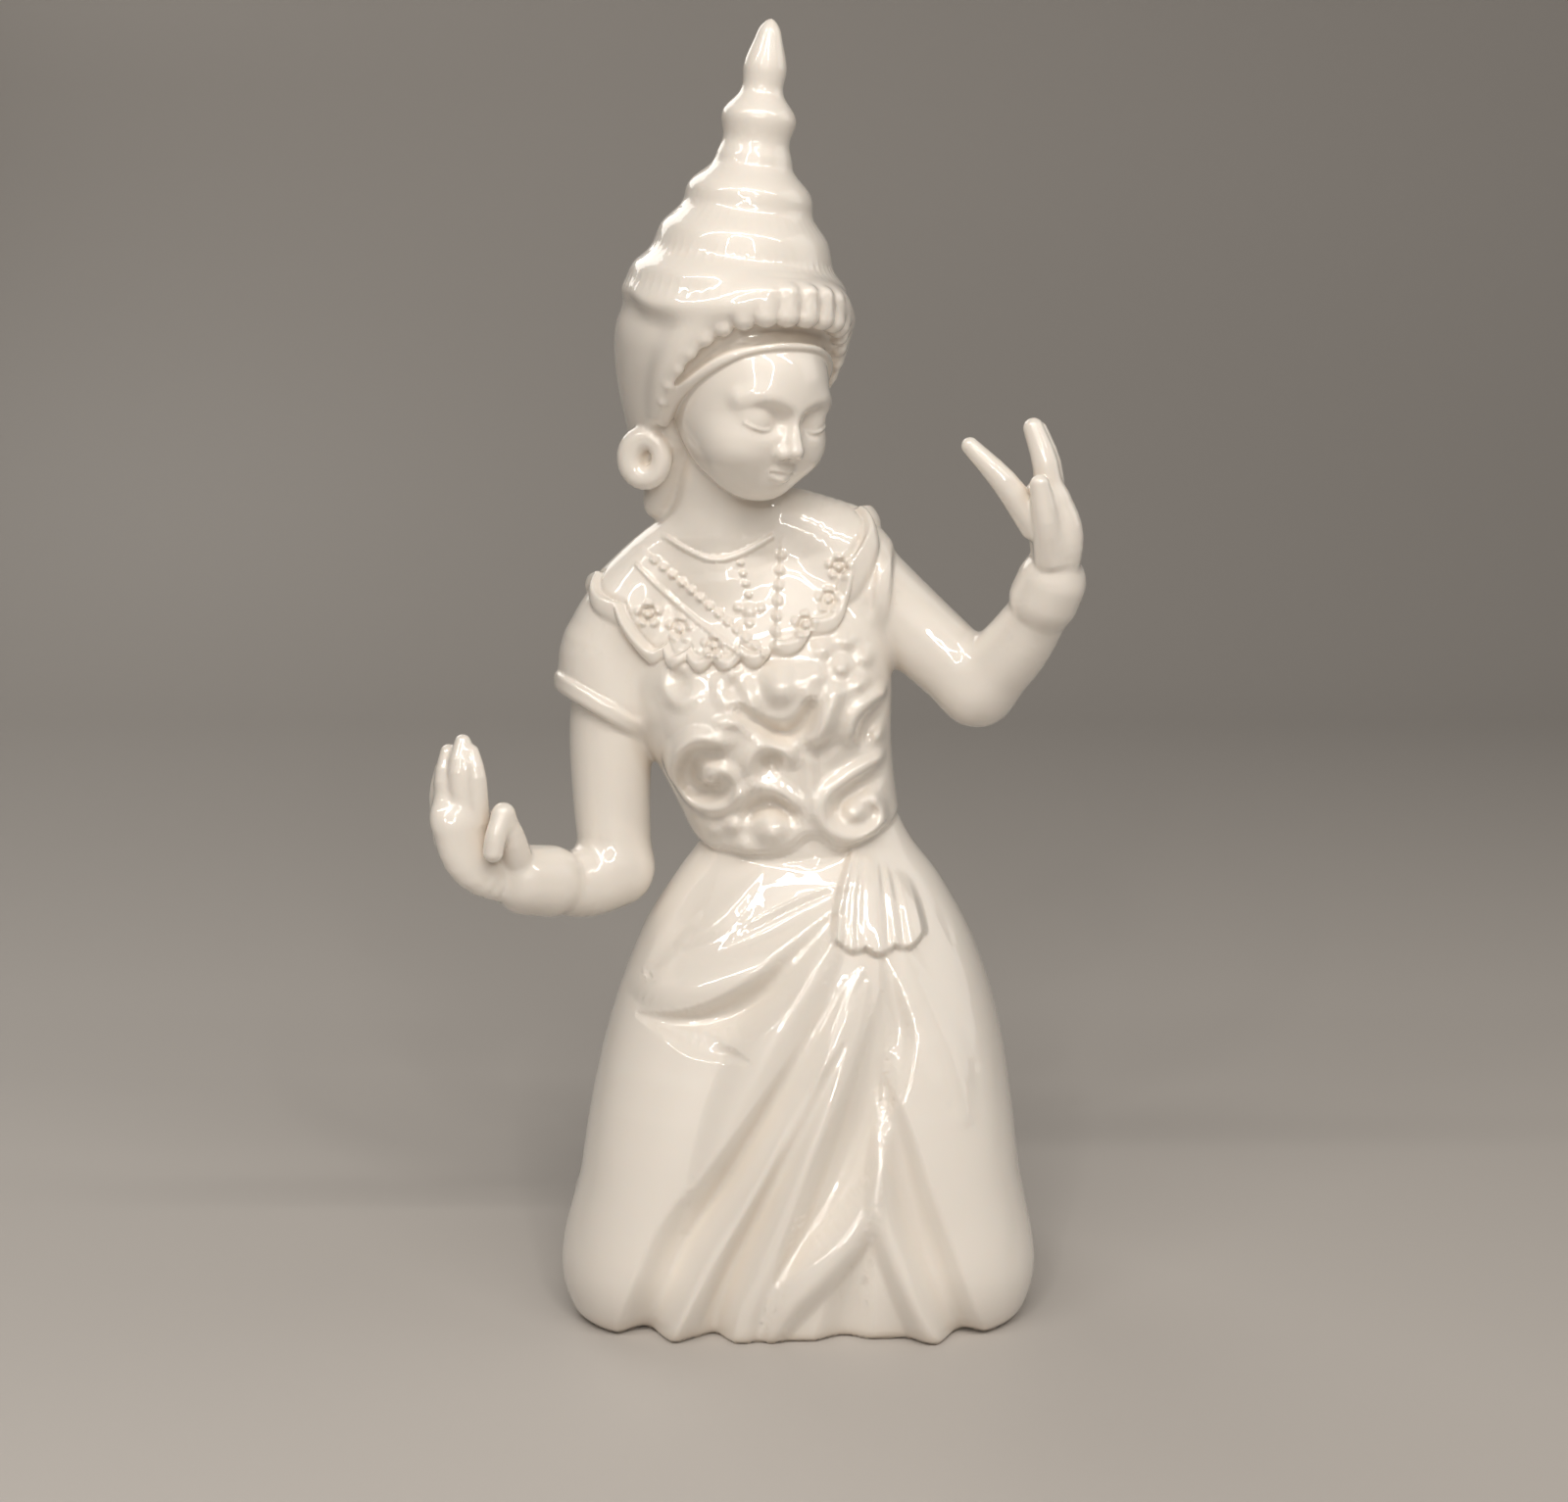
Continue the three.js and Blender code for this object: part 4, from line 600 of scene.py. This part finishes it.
HAIR_EDGE = [[0, 19.2, 14.8, 0.7], [5, 18.2, 14.3, 0.7], [9.6, 15.3, 12.4, 0.7], [12.6, 12.2, 9.6, 0.7],
             [14.3, 7.8, 5.6, 0.7], [14.5, 3.4, 1.4, 0.7], [13.6, -0.6, -3.4, 0.7]]
nape = limb([[-16.5, 9, 160, 5.5], [-18, 12, 150, 6], [-14, 17, 138, 6.5]], normal=[0, 1, 0.2], flat=0.7)


def mirrored(rows):
    """A line that starts in the middle, with its mirror image put before it."""
    return [[-r[0], *r[1:]] for r in rows[:0:-1]] + rows


hair_edge = limb(mirrored(HAIR_EDGE), steps=4)
hair_band = limb(mirrored(BAND), steps=4)


# The brim is a thick roll over the forehead that thins out down to both ears. Round lobes hang
# from its lower edge and rise over the roll. Rows are side, front, up, thickness.
BRIM = [[0, 17.4, 23, 3.5], [7.2, 16, 22.4, 3.4], [12, 12.6, 20, 3.2], [15, 9.4, 16.6, 2.9],
        [16.7, 6.6, 12, 2.5], [16.9, 4.2, 7.2, 2.1], [16.2, 2, 2.6, 1.5], [14.8, 0, -2, 0.9]]
LOBES = [[0, 19.9, 20.6, 2.2], [5.4, 18.9, 20.2, 2.2], [9.4, 16.6, 19.1, 2.1], [13, 13.2, 16.6, 1.8],
         [15.7, 9.9, 13, 1.55], [17, 7.4, 9.2, 1.35], [17.4, 5, 5, 1.1], [16.8, 2.8, 1, 0.9]]
LOBE_COUNT = 19
LOBE_RISE = 3.8
brim = limb(mirrored(BRIM), steps=5)


def brim_lobes():
    """Soft lobes: each is a ball on the lower edge that rises over the roll and thins out."""
    line = spline(mirrored(LOBES), 8)
    run = np.concatenate([[0], np.cumsum(np.linalg.norm(np.diff(line[:, :3], axis=0), axis=1))])
    made = []
    for t in np.linspace(0, run[-1], LOBE_COUNT):
        u, v, w, r = (float(np.interp(t, run, line[:, k])) for k in range(4))
        rise = r / LOBES[0][3]
        made.append(limb([[u, v, w, r], [u * 0.99, v, w + LOBE_RISE * rise, r * 0.72]]))
    return nearest(*made)


lobes = brim_lobes()


def hair(u, v, w):
    d = smooth_max(cap_column(u, v, w) * 0.95, np.maximum(w - 22, -17 - w), 5)
    d = smooth_max(d, (v - hairline(w)[0]) * 0.75, 1.5)
    d = smooth_min(d, brim(u, v, w), 3.5)
    d = smooth_max(d, -hair_band(u, v, w), 1.4)
    return smooth_min(smooth_min(d, hair_edge(u, v, w), 1.4), lobes(u, v, w), 0.7)


def ear_curl(s):
    rows = []
    for i in range(13):
        a = math.radians(60 + 30 * i)
        rows.append([s * (14 - 1.8 * math.cos(a)), -4.6 + 2.6 * math.cos(a), -11 + 3.7 * math.sin(a),
                     2.35 - 0.35 * math.cos(a)])
    lock = limb([[s * 8, -5, -5, 5.4], [s * 7.6, -6.2, -12, 4.6], [s * 7, -8, -20, 3.6]])
    return blend(0.8, limb(rows, steps=2), lock, ball(s * 12.2, -6.8, -11.2, 2.8))


ear_curls = nearest(ear_curl(-1), ear_curl(1))

# Crown: turned rings that narrow to a bud
CROWN_FRAME = placed([-14.1, 0.5, 170], 36, 7, 4)
CROWN = [
    # height above the head's centre, radius
    [12, 17], [15.6, 21], [18, 22.2], [20.2, 21.6], [22, 20.9], [24, 20.4], [25.6, 19.4], [27, 17.8],
    [28.4, 16.9], [30, 16.5], [32, 15.9], [33.2, 15.3], [34.6, 14], [36.2, 12.5], [37.6, 12], [39.4, 11.9],
    [41, 11.2], [42.4, 9.9], [44, 7.9], [45.4, 7.2], [46.6, 7.1], [48, 6.4], [49.6, 6.2], [51, 6.5],
    [52.8, 7], [54.2, 6.8], [55.6, 5.9], [57, 4.5], [58.4, 3.8], [60, 3.8], [62, 4.1], [63.6, 3.8],
    [65, 3.4], [67, 2.7], [69, 2.1], [71, 1.4],
]
crown_radius = profile(CROWN)
# Flutes run down the lower rings: height, how many, how deep
FLUTES = [[21.4, 64, 0.08], [28, 60, 0.08], [35, 48, 0.06]]
SOFT = 0.9  # the turned edges are rounded over this height


def crown_near(u, v, w):
    r = np.sqrt(u * u + v * v)
    radius = (crown_radius(w - SOFT)[0] + 2 * crown_radius(w)[0] + crown_radius(w + SOFT)[0]) / 4
    d = r - radius
    a = np.arctan2(u, v)
    for height, count, depth in FLUTES:
        d = d + depth * np.cos(a * count / 2) ** 2 * np.exp(-((w - height) / 1.6) ** 2)
    base = 15.2 + 2.6 * ramp(-v, -6, 5) + 3.2 * ramp(v, 9, 17)
    return smooth_max(smooth_max(d * 0.85, w - 71.6, 3), (base - w) * 0.9, 3)


def crown(x, y, z):
    return crown_near(*CROWN_FRAME(x, y, z))


def head_near(x, y, z):
    u, v, w = HEAD(x, y, z)
    d = face_front(u, v, w)
    d = smooth_min(d, hair(u, v, w), 0.6)
    d = smooth_min(d, ear_curls(u, v, w), 0.8)
    return smooth_min(d, crown(x, y, z), 2.6)


def head(x, y, z):
    return inside_of((z > 140) & ((x + 12) ** 2 + y ** 2 < 2500), head_near, x, y, z)


neck = limb([[-13.5, 4, 138, 9.5], [-14.6, 4, 147, 8], [-14.4, 3, 160, 7.8]])

# Collar: a cape with a scalloped, rolled edge, lying on the shoulders. In front its two flaps
# part in a V that is edged with beads, and small flowers stand on both flaps.
NECK_BASE = [-13.5, 4, 146]
COLLAR = {"reach": 27.6, "scallop": 2.0, "count": 19, "thick": 1.3, "edge": 0.9}
FLAP_RIGHT = [[-27.2, 141.6], [-6.2, 124.8]]
FLAP_LEFT = [[-3.4, 142.5], [-4.4, 126]]
PENDANT = [-9.2, 132.4]


def beads_between(ends, count, height, r):
    (x0, z0), (x1, z1) = ends
    return [boss(height, x0 + (x1 - x0) * t, z0 + (z1 - z0) * t, r) for t in np.linspace(0, 1, count)]


collar_relief = carved(0.85, [
    *beads_between(FLAP_RIGHT, 13, 0.9, 1.1),
    *beads_between(FLAP_LEFT, 7, 0.9, 1.2),
    stroke(0.5, [[-30.6, 140.6, 0.7], [-22, 132.6, 0.9], [-10, 124.2, 0.7]]),
    boss(1.3, *PENDANT, 1.7),
    *[boss(0.9, PENDANT[0] + s * 2.1, PENDANT[1] + 0.5, 1.1) for s in (-1, 1)],
    boss(0.9, PENDANT[0], PENDANT[1] - 2.2, 1.1),
    *beads_between([[-10.9, 141.2], [-9.4, 135.3]], 4, 0.8, 0.85),
    *rosette(0.8, -28.4, 131.4, 5, 1.9, 1.1),
    *rosette(0.8, -22.4, 128.8, 5, 1.9, 1.1),
    *rosette(0.8, -16, 126, 5, 1.6, 1.0),
    *rosette(0.8, 1.2, 130, 5, 1.8, 1.1),
    *rosette(0.8, 5.6, 134.4, 5, 1.8, 1.1),
    *rosette(0.8, 7.6, 140.4, 5, 1.8, 1.1),
    stroke(0.7, [[-25.5, 146, 0.8], [-20, 143, 0.9], [-15.4, 141.8, 0.9], [-10, 143.2, 0.9], [-5, 146, 0.8]]),
])


def beside(line, x, z):
    """Distance to the left of a line that is walked from its first end to its second."""
    (x0, z0), (x1, z1) = line
    length = math.hypot(x1 - x0, z1 - z0)
    return ((x1 - x0) * (z - z0) - (z1 - z0) * (x - x0)) / length


def collar(body, x, y, z):
    dx, dy, dz = x - NECK_BASE[0], y - NECK_BASE[1], z - NECK_BASE[2]
    r = np.sqrt(dx * dx + dy * dy + dz * dz)
    a = np.arctan2(dx, -dy) * (COLLAR["count"] / (2 * math.pi))
    out = r - COLLAR["reach"] - COLLAR["scallop"] * np.abs(np.cos(a * math.pi))
    height = COLLAR["edge"] * np.exp(-((out + 1.3) / 0.9) ** 2) - 0.35 * np.exp(-((out + 3) / 0.5) ** 2)
    front = ramp(-y, 0, 4)
    panel = ramp(beside(FLAP_RIGHT, x, z), -0.3, 0.5) * ramp(-beside(FLAP_LEFT, x, z), -0.3, 0.5)
    panel = panel * ramp(-z, -146, -142)
    height = height * (1 - panel * front) - 0.8 * panel * front + collar_relief(x, z) * front
    return smooth_max(body - COLLAR["thick"] - height, out, 0.8)


# Sash: its pleated tail hangs over the left thigh. Rows are [height, centre, half width].
sash_width = profile([[66, 15.4, 9.6], [72, 15.3, 9.4], [78, 15, 8.4], [84, 14.9, 6.4], [92, 15.3, 4]])
SASH = {"thick": 2.3, "bottom": 70.2, "pleats": [-0.7, -0.45, 0.16, 0.45], "depth": 0.9}


def sash_near(x, z):
    centre, width = sash_width(z)
    s = (x - centre) / width
    bottom = SASH["bottom"] + 2.2 * s * s - 1.1 * np.abs(np.cos(s * 5.4))
    h = SASH["thick"] + 0 * s
    for p in SASH["pleats"]:
        h = h - SASH["depth"] * np.exp(-((s - p) / 0.1) ** 2) * ramp(-z, -90, -78)
    return h * (1 - ramp(np.abs(s), 0.82, 1.03)) * ramp(z, bottom - 1, bottom + 1)


def sash(x, z):
    out = np.zeros(x.shape, REAL)
    near = (z > 60) & (z < 100) & (np.abs(x - 15) < 11)
    if near.any():
        out[near] = sash_near(x[near], z[near])
    return out


# The whole figure, from the floor up
def figure(x, y, z):
    lower = skirt(x, y, z) - sash(x, z) * ramp(-y, 6, 14)
    lower = smooth_min(lower, feet(x, y, z), 2)
    torso = smooth_min(bodice(x, y, z), shoulders(x, y, z), 5)
    upper = smooth_min(torso, arms(x, y, z), 2.5)
    body = smooth_min(upper, neck(x, y, z), 4)
    upper = smooth_min(body, collar(body, x, y, z), 0.4)
    upper = smooth_min(upper, nape(x, y, z), 2)
    d = smooth_min(lower, upper, 0.8)
    d = smooth_min(d, head(x, y, z), 1.2)
    return smooth_max(d, -z, 0.8)


# Working the field out at many points, in batches that lie close together
BATCH = 20000
CLUSTER = 14.0  # side of the cubes that order the points


def evaluate(field, points):
    key = np.floor(points / CLUSTER).astype(int)
    order = np.lexsort((key[:, 1], key[:, 0], key[:, 2]))
    out = np.empty(len(points), REAL)

    def run(part):
        x, y, z = np.ascontiguousarray(points[part].T, REAL)
        out[part] = field(x, y, z)

    with ThreadPoolExecutor(4) as pool:
        list(pool.map(run, np.array_split(order, len(points) // BATCH + 1)))
    return out


TETRA = np.array([[1, -1, -1], [-1, -1, 1], [-1, 1, -1], [1, 1, 1]], REAL)


def slope(field, points, h):
    """The field's value and gradient, from the four corners of a small tetrahedron."""
    f = evaluate(field, (points[None] + h * TETRA[:, None]).reshape(-1, 3)).reshape(4, -1)
    return f.mean(0), np.einsum("cn,ck->nk", f, TETRA) / (4 * h)


# Meshing: surface nets on a grid, with each vertex then moved onto the surface
LOW, HIGH = np.array([-74, -52, -3.3]), np.array([62, 64, HEIGHT + 4])
BLOCK = 8
FACE_BOX = [[-31, 5], [-27, -8], [156, 184]]
FACE_CELL = 0.6  # share of the spacing that is left around the face
FACE_MARGIN = 5.0  # over which the spacing changes
NEAR = 1.6  # a block is worked out in full if its middle is this many blocks from the surface, or less
CORNERS = np.array([[c & 1, (c >> 1) & 1, c >> 2] for c in range(8)])


def grid_lines():
    """Grid lines along each axis. They lie closer together around the face."""
    lines = []
    for low, high, (a, b) in zip(LOW, HIGH, FACE_BOX):
        line = [low]
        while line[-1] < high or len(line) % BLOCK:
            near = ramp(line[-1], a - FACE_MARGIN, a) * ramp(-line[-1], -b - FACE_MARGIN, -b)
            line.append(line[-1] + CELL * (1 - (1 - FACE_CELL) * near))
        lines.append(np.array(line))
    return lines


def sample(field, lines):
    """Values on the grid; blocks far from the surface take the value of their middle."""
    blocks = np.array([len(line) // BLOCK for line in lines])

    def place(index):
        return np.stack([line[index[..., k]] for k, line in enumerate(lines)], -1)

    starts = np.stack(np.meshgrid(*[np.arange(b) for b in blocks], indexing="ij"), -1)
    starts = starts.reshape(-1, 3) * BLOCK
    values = evaluate(field, place(starts + BLOCK // 2))
    near = np.abs(values) < BLOCK * CELL * NEAR
    steps = np.stack(np.meshgrid(*[np.arange(BLOCK)] * 3, indexing="ij"), -1).reshape(-1, 3)
    full = np.repeat(values[:, None], BLOCK ** 3, 1)
    points = starts[near][:, None] + steps[None]
    full[near] = evaluate(field, place(points.reshape(-1, 3))).reshape(-1, BLOCK ** 3)
    full = full.reshape(*blocks, BLOCK, BLOCK, BLOCK).transpose(0, 3, 1, 4, 2, 5)
    return np.ascontiguousarray(full).reshape(blocks * BLOCK)


def touching():
    """The corner patterns of a cell in which two parts of the surface would touch."""
    pairs = [(0, 3, 1, 2), (4, 7, 5, 6), (0, 5, 1, 4), (2, 7, 3, 6), (0, 6, 2, 4), (1, 7, 3, 5)]
    bad = np.zeros(256, bool)
    for code in range(256):
        s = [code >> c & 1 for c in range(8)]
        n = sum(s)
        crossed = any(s[a] == s[b] and s[c] == s[d] and s[a] != s[c] for a, b, c, d in pairs)
        ends = n in (2, 6) and any(s[c] == s[7 - c] == int(n == 2) for c in range(4))
        bad[code] = 2 <= n <= 6 and (crossed or ends)
    return bad


def codes(solid):
    """For each cell of the grid, a number that says which of its corners are inside."""
    n = np.array(solid.shape) - 1
    out = np.zeros(n, np.uint8)
    for c, (a, b, d) in enumerate(CORNERS):
        out |= solid[a:a + n[0], b:b + n[1], d:d + n[2]].astype(np.uint8) << c
    return out


UNTANGLE_ROUNDS = 12
JUST_INSIDE = -0.02


def untangle(values):
    """Fills the corners at which two parts of the surface would touch."""
    bad = touching()
    for _ in range(UNTANGLE_ROUNDS):
        cells = np.argwhere(bad[codes(values < 0)])
        if not len(cells):
            break
        at = cells[:, None] + CORNERS[None]
        v = values[at[..., 0], at[..., 1], at[..., 2]]
        v[v < 0] = np.inf
        pick = at[np.arange(len(at)), v.argmin(1)]
        values[pick[:, 0], pick[:, 1], pick[:, 2]] = JUST_INSIDE


def surface_nets(values, lines):
    """One vertex in each cell that the surface crosses, and a quad over each crossed grid edge."""
    code = codes(values < 0)
    cells = np.argwhere((code > 0) & (code < 255))
    at = cells[:, None] + CORNERS[None]
    v = values[at[..., 0], at[..., 1], at[..., 2]]
    total, count = np.zeros((len(cells), 3)), np.zeros(len(cells))
    for c in range(8):
        for bit in (1, 2, 4):
            e = c | bit
            if e == c:
                continue
            crossing = (v[:, c] < 0) != (v[:, e] < 0)
            t = v[crossing, c] / (v[crossing, c] - v[crossing, e])
            total[crossing] += CORNERS[c] + t[:, None] * (CORNERS[e] - CORNERS[c])
            count[crossing] += 1
    place = cells + total / count[:, None]
    points = np.stack([
        np.interp(place[:, k], np.arange(len(line)), line) for k, line in enumerate(lines)], 1)
    vertex = np.full(code.shape, -1, np.int32)
    vertex[tuple(cells.T)] = np.arange(len(cells))
    solid = values < 0
    faces = []
    for m in range(3):
        p, q = np.eye(3, dtype=int)[(m + 1) % 3], np.eye(3, dtype=int)[(m + 2) % 3]
        a = solid[1:-1, 1:-1, 1:-1]
        step = np.eye(3, dtype=int)[m]
        hi = [slice(1 + s, n - 1 + s) for s, n in zip(step, solid.shape)]
        b = solid[tuple(hi)]
        o = np.argwhere(a != b) + 1
        first = solid[tuple(o.T)]
        quad = np.stack([vertex[tuple((o + s).T)] for s in (-p - q, -q, 0 * p, -p)], 1)
        quad[~first] = quad[~first][:, ::-1]
        faces.append(quad)
    return points, np.concatenate(faces)


def largest_body(points, faces):
    """Keeps the one body with the most vertices: sealed hollows and loose crumbs go."""
    label = np.arange(len(points))
    a, b = faces.ravel(), np.roll(faces, -1, 1).ravel()
    while True:
        low = np.minimum(label[a], label[b])
        new = label.copy()
        np.minimum.at(new, a, low)
        np.minimum.at(new, b, low)
        new = new[new]
        if (new == label).all():
            break
        label = new
    keep = label == np.bincount(label).argmax()
    index = np.cumsum(keep) - 1
    return points[keep], index[faces[keep[faces[:, 0]]]]


def even(field, points, edges, share, h):
    """Each vertex moves a little towards the middle of its neighbours, then back onto the surface."""
    a, b = edges.T
    count = np.bincount(a, minlength=len(points)) + np.bincount(b, minlength=len(points))
    middle = np.stack([np.bincount(a, points[b, k], len(points)) + np.bincount(b, points[a, k], len(points))
                       for k in range(3)], 1)
    points = points + share * (middle / count[:, None] - points)
    d, g = slope(field, points, h)
    length = np.maximum((g ** 2).sum(1), 0.2)
    return points - (np.clip(d, -0.5, 0.5) / length)[:, None] * g


def mesh_of(name, points, faces):
    mesh = bpy.data.meshes.new(name)
    size = faces.shape[1]
    mesh.vertices.add(len(points))
    mesh.vertices.foreach_set("co", points.astype(REAL).ravel())
    mesh.loops.add(faces.size)
    mesh.loops.foreach_set("vertex_index", faces.ravel().astype(np.int32))
    mesh.polygons.add(len(faces))
    mesh.polygons.foreach_set("loop_start", np.arange(0, faces.size, size, dtype=np.int32))
    mesh.update(calc_edges=True)
    mesh.validate()
    return mesh


def edges_of(mesh):
    edges = np.empty(len(mesh.edges) * 2, np.int32)
    mesh.edges.foreach_get("vertices", edges)
    return edges.reshape(-1, 2)


def points_of(mesh):
    points = np.empty(len(mesh.vertices) * 3, REAL)
    mesh.vertices.foreach_get("co", points)
    return points.reshape(-1, 3)


def thinned(mesh, target):
    """The mesh with at most the given number of triangles, where the shape needs them most."""
    rough = bpy.data.objects.new("rough", mesh)
    bpy.context.collection.objects.link(rough)
    fewer = rough.modifiers.new("fewer", "DECIMATE")
    fewer.ratio = target / sum(len(p.vertices) - 2 for p in mesh.polygons)
    fewer.use_collapse_triangulate = True
    out = bpy.data.meshes.new_from_object(rough.evaluated_get(bpy.context.evaluated_depsgraph_get()))
    bpy.data.objects.remove(rough)
    return out


FLAT_BELOW = 0.4  # what lies lower than this is put on the floor


def sculpt():
    """The figure's mesh, in metres, with normals from the field itself."""
    lines = grid_lines()
    values = sample(figure, lines)
    untangle(values)
    points, faces = largest_body(*surface_nets(values, lines))
    mesh = mesh_of("fine", points, faces)
    edges = edges_of(mesh)
    for _ in range(2):
        points = even(figure, points, edges, share=0.4, h=0.15)
    mesh.vertices.foreach_set("co", points.astype(REAL).ravel())
    mesh = thinned(mesh, TRIANGLES)
    points, edges = points_of(mesh), edges_of(mesh)
    points = even(figure, points, edges, share=0.08, h=0.1)
    points[points[:, 2] < FLAT_BELOW, 2] = 0
    normals = slope(figure, points, 0.1)[1]
    normals /= np.linalg.norm(normals, axis=1)[:, None]
    mesh.vertices.foreach_set("co", (points * MM).astype(REAL).ravel())
    mesh.polygons.foreach_set("use_smooth", np.ones(len(mesh.polygons), bool))
    mesh.update()
    mesh.normals_split_custom_set_from_vertices(normals.tolist())
    return mesh


# Looks
def porcelain():
    """White body under a clear, very glossy glaze, with painted shade: the colour is darker and warmer in the
    carving's recesses.
    """
    material = bpy.data.materials.new("porcelain")
    material.use_nodes = True
    nodes, links = material.node_tree.nodes, material.node_tree.links
    glaze = nodes["Principled BSDF"]
    glaze.inputs["Roughness"].default_value = 0.35
    glaze.inputs["IOR"].default_value = 1.5
    glaze.inputs["Subsurface Weight"].default_value = 0.12
    glaze.inputs["Subsurface Radius"].default_value = (1.0, 0.7, 0.5)
    glaze.inputs["Subsurface Scale"].default_value = 0.002
    glaze.inputs["Coat Weight"].default_value = 1.0
    glaze.inputs["Coat Roughness"].default_value = 0.015
    glaze.inputs["Coat IOR"].default_value = 1.52
    # Painted shade: ambient occlusion mixes a darker, warmer colour into the creases and recesses.
    painted_shade_ao = nodes.new("ShaderNodeAmbientOcclusion")
    painted_shade_ao.samples = 6
    painted_shade_ao.inputs["Distance"].default_value = 0.004
    painted_shade_mix = nodes.new("ShaderNodeMix")
    painted_shade_mix.data_type = "RGBA"
    painted_shade_mix.inputs[6].default_value = (0.72, 0.63, 0.53, 1)
    painted_shade_mix.inputs[7].default_value = (0.83, 0.785, 0.725, 1)
    links.new(painted_shade_ao.outputs["AO"], painted_shade_mix.inputs[0])
    links.new(painted_shade_mix.outputs[2], glaze.inputs["Base Color"])
    place = nodes.new("ShaderNodeTexCoord")
    waves = nodes.new("ShaderNodeTexNoise")
    waves.inputs["Scale"].default_value = 320
    waves.inputs["Detail"].default_value = 1
    bump = nodes.new("ShaderNodeBump")
    bump.inputs["Strength"].default_value = 0.06
    bump.inputs["Distance"].default_value = 0.0003
    links.new(place.outputs["Object"], waves.inputs["Vector"])
    links.new(waves.outputs["Fac"], bump.inputs["Height"])
    links.new(bump.outputs["Normal"], glaze.inputs["Coat Normal"])
    return material


def plain(name, colour, roughness):
    material = bpy.data.materials.new(name)
    material.use_nodes = True
    paint = material.node_tree.nodes["Principled BSDF"]
    paint.inputs["Base Color"].default_value = (*colour, 1)
    paint.inputs["Roughness"].default_value = roughness
    return material


def figurine():
    piece = bpy.data.objects.new("Dancer", sculpt())
    bpy.context.collection.objects.link(piece)
    piece.data.materials.append(porcelain())
    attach(piece, "root")
    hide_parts(NODE)


def floor():
    """A pale floor that rises behind in one sweep."""
    depth, height, bend, width = 1.1, 1.6, 0.35, 3.0
    line = [(-2.5, 0.0), (depth - bend, 0.0)]
    for i in range(1, 13):
        a = math.radians(90 * i / 12)
        line.append((depth - bend + bend * math.sin(a), bend - bend * math.cos(a)))
    line.append((depth, height))
    points = [(x, y, z) for y, z in line for x in (-width, width)]
    faces = [(i, i + 1, i + 3, i + 2) for i in range(0, len(points) - 2, 2)]
    mesh = bpy.data.meshes.new("Floor")
    mesh.from_pydata(points, [], faces)
    mesh.polygons.foreach_set("use_smooth", [True] * len(faces))
    sweep = bpy.data.objects.new("Floor", mesh)
    bpy.context.collection.objects.link(sweep)
    mesh.materials.append(plain("floor", (0.5, 0.475, 0.45), 0.55))


def lamp(name, place, target, size, watts, colour):
    light = bpy.data.lights.new(name, "AREA")
    light.shape = "RECTANGLE"
    light.size, light.size_y = size
    light.energy = watts
    light.color = colour
    holder = bpy.data.objects.new(name, light)
    holder.location = place
    holder.rotation_euler = (Vector(target) - Vector(place)).to_track_quat("-Z", "Y").to_euler()
    bpy.context.collection.objects.link(holder)


# The main light is a long slim tube overhead and a round of short ones in front. Their reflections
# draw thin lines and loops on the glaze.
RING = {"middle": (0.0, -0.55, 0.46), "radius": 0.17, "count": 36, "width": 0.011, "watts": 2.2}


def ring_light(target):
    middle = Vector(RING["middle"])
    turn = (Vector(target) - middle).to_track_quat("-Z", "Y")
    length = 2 * math.pi * RING["radius"] / RING["count"]
    for i in range(RING["count"]):
        a = 2 * math.pi * i / RING["count"]
        light = bpy.data.lights.new("Ring", "AREA")
        light.shape = "RECTANGLE"
        light.size, light.size_y = RING["width"], length
        light.energy = RING["watts"] / RING["count"]
        light.color = (1, 0.94, 0.87)
        holder = bpy.data.objects.new("Ring", light)
        holder.location = middle + turn @ (RING["radius"] * Vector((math.cos(a), math.sin(a), 0)))
        holder.rotation_euler = (turn @ Euler((0, 0, a)).to_quaternion()).to_euler()
        bpy.context.collection.objects.link(holder)


def studio():
    world = bpy.data.worlds.new("Studio")
    world.use_nodes = True
    world.node_tree.nodes["Background"].inputs["Color"].default_value = (0.8, 0.76, 0.72, 1)
    world.node_tree.nodes["Background"].inputs["Strength"].default_value = 0.06
    bpy.context.scene.world = world
    ring_light((0, 0, 0.12))
    lamp("Tube", (0.0, -0.46, 0.74), (0, 0, 0.12), (1.5, 0.025), 4.6, (1, 0.94, 0.87))
    lamp("Right", (1.1, 0.1, 0.7), (0, 0, 0.12), (0.8, 0.8), 1.8, (1, 0.96, 0.9))
    lamp("Back", (-0.6, 0.8, 0.8), (0, 0, 0.12), (0.6, 0.6), 2.4, (1, 0.96, 0.9))
    bpy.context.scene.view_settings.view_transform = "Standard"


def camera():
    data = bpy.data.cameras.new("Camera")
    data.lens = 56
    data.sensor_width = 36
    holder = bpy.data.objects.new("Camera", data)
    holder.location = (-0.0027, -0.464, 0.178)
    holder.rotation_euler = (math.radians(81), 0, 0)
    bpy.context.collection.objects.link(holder)
    bpy.context.scene.camera = holder


figurine()
floor()
studio()
camera()
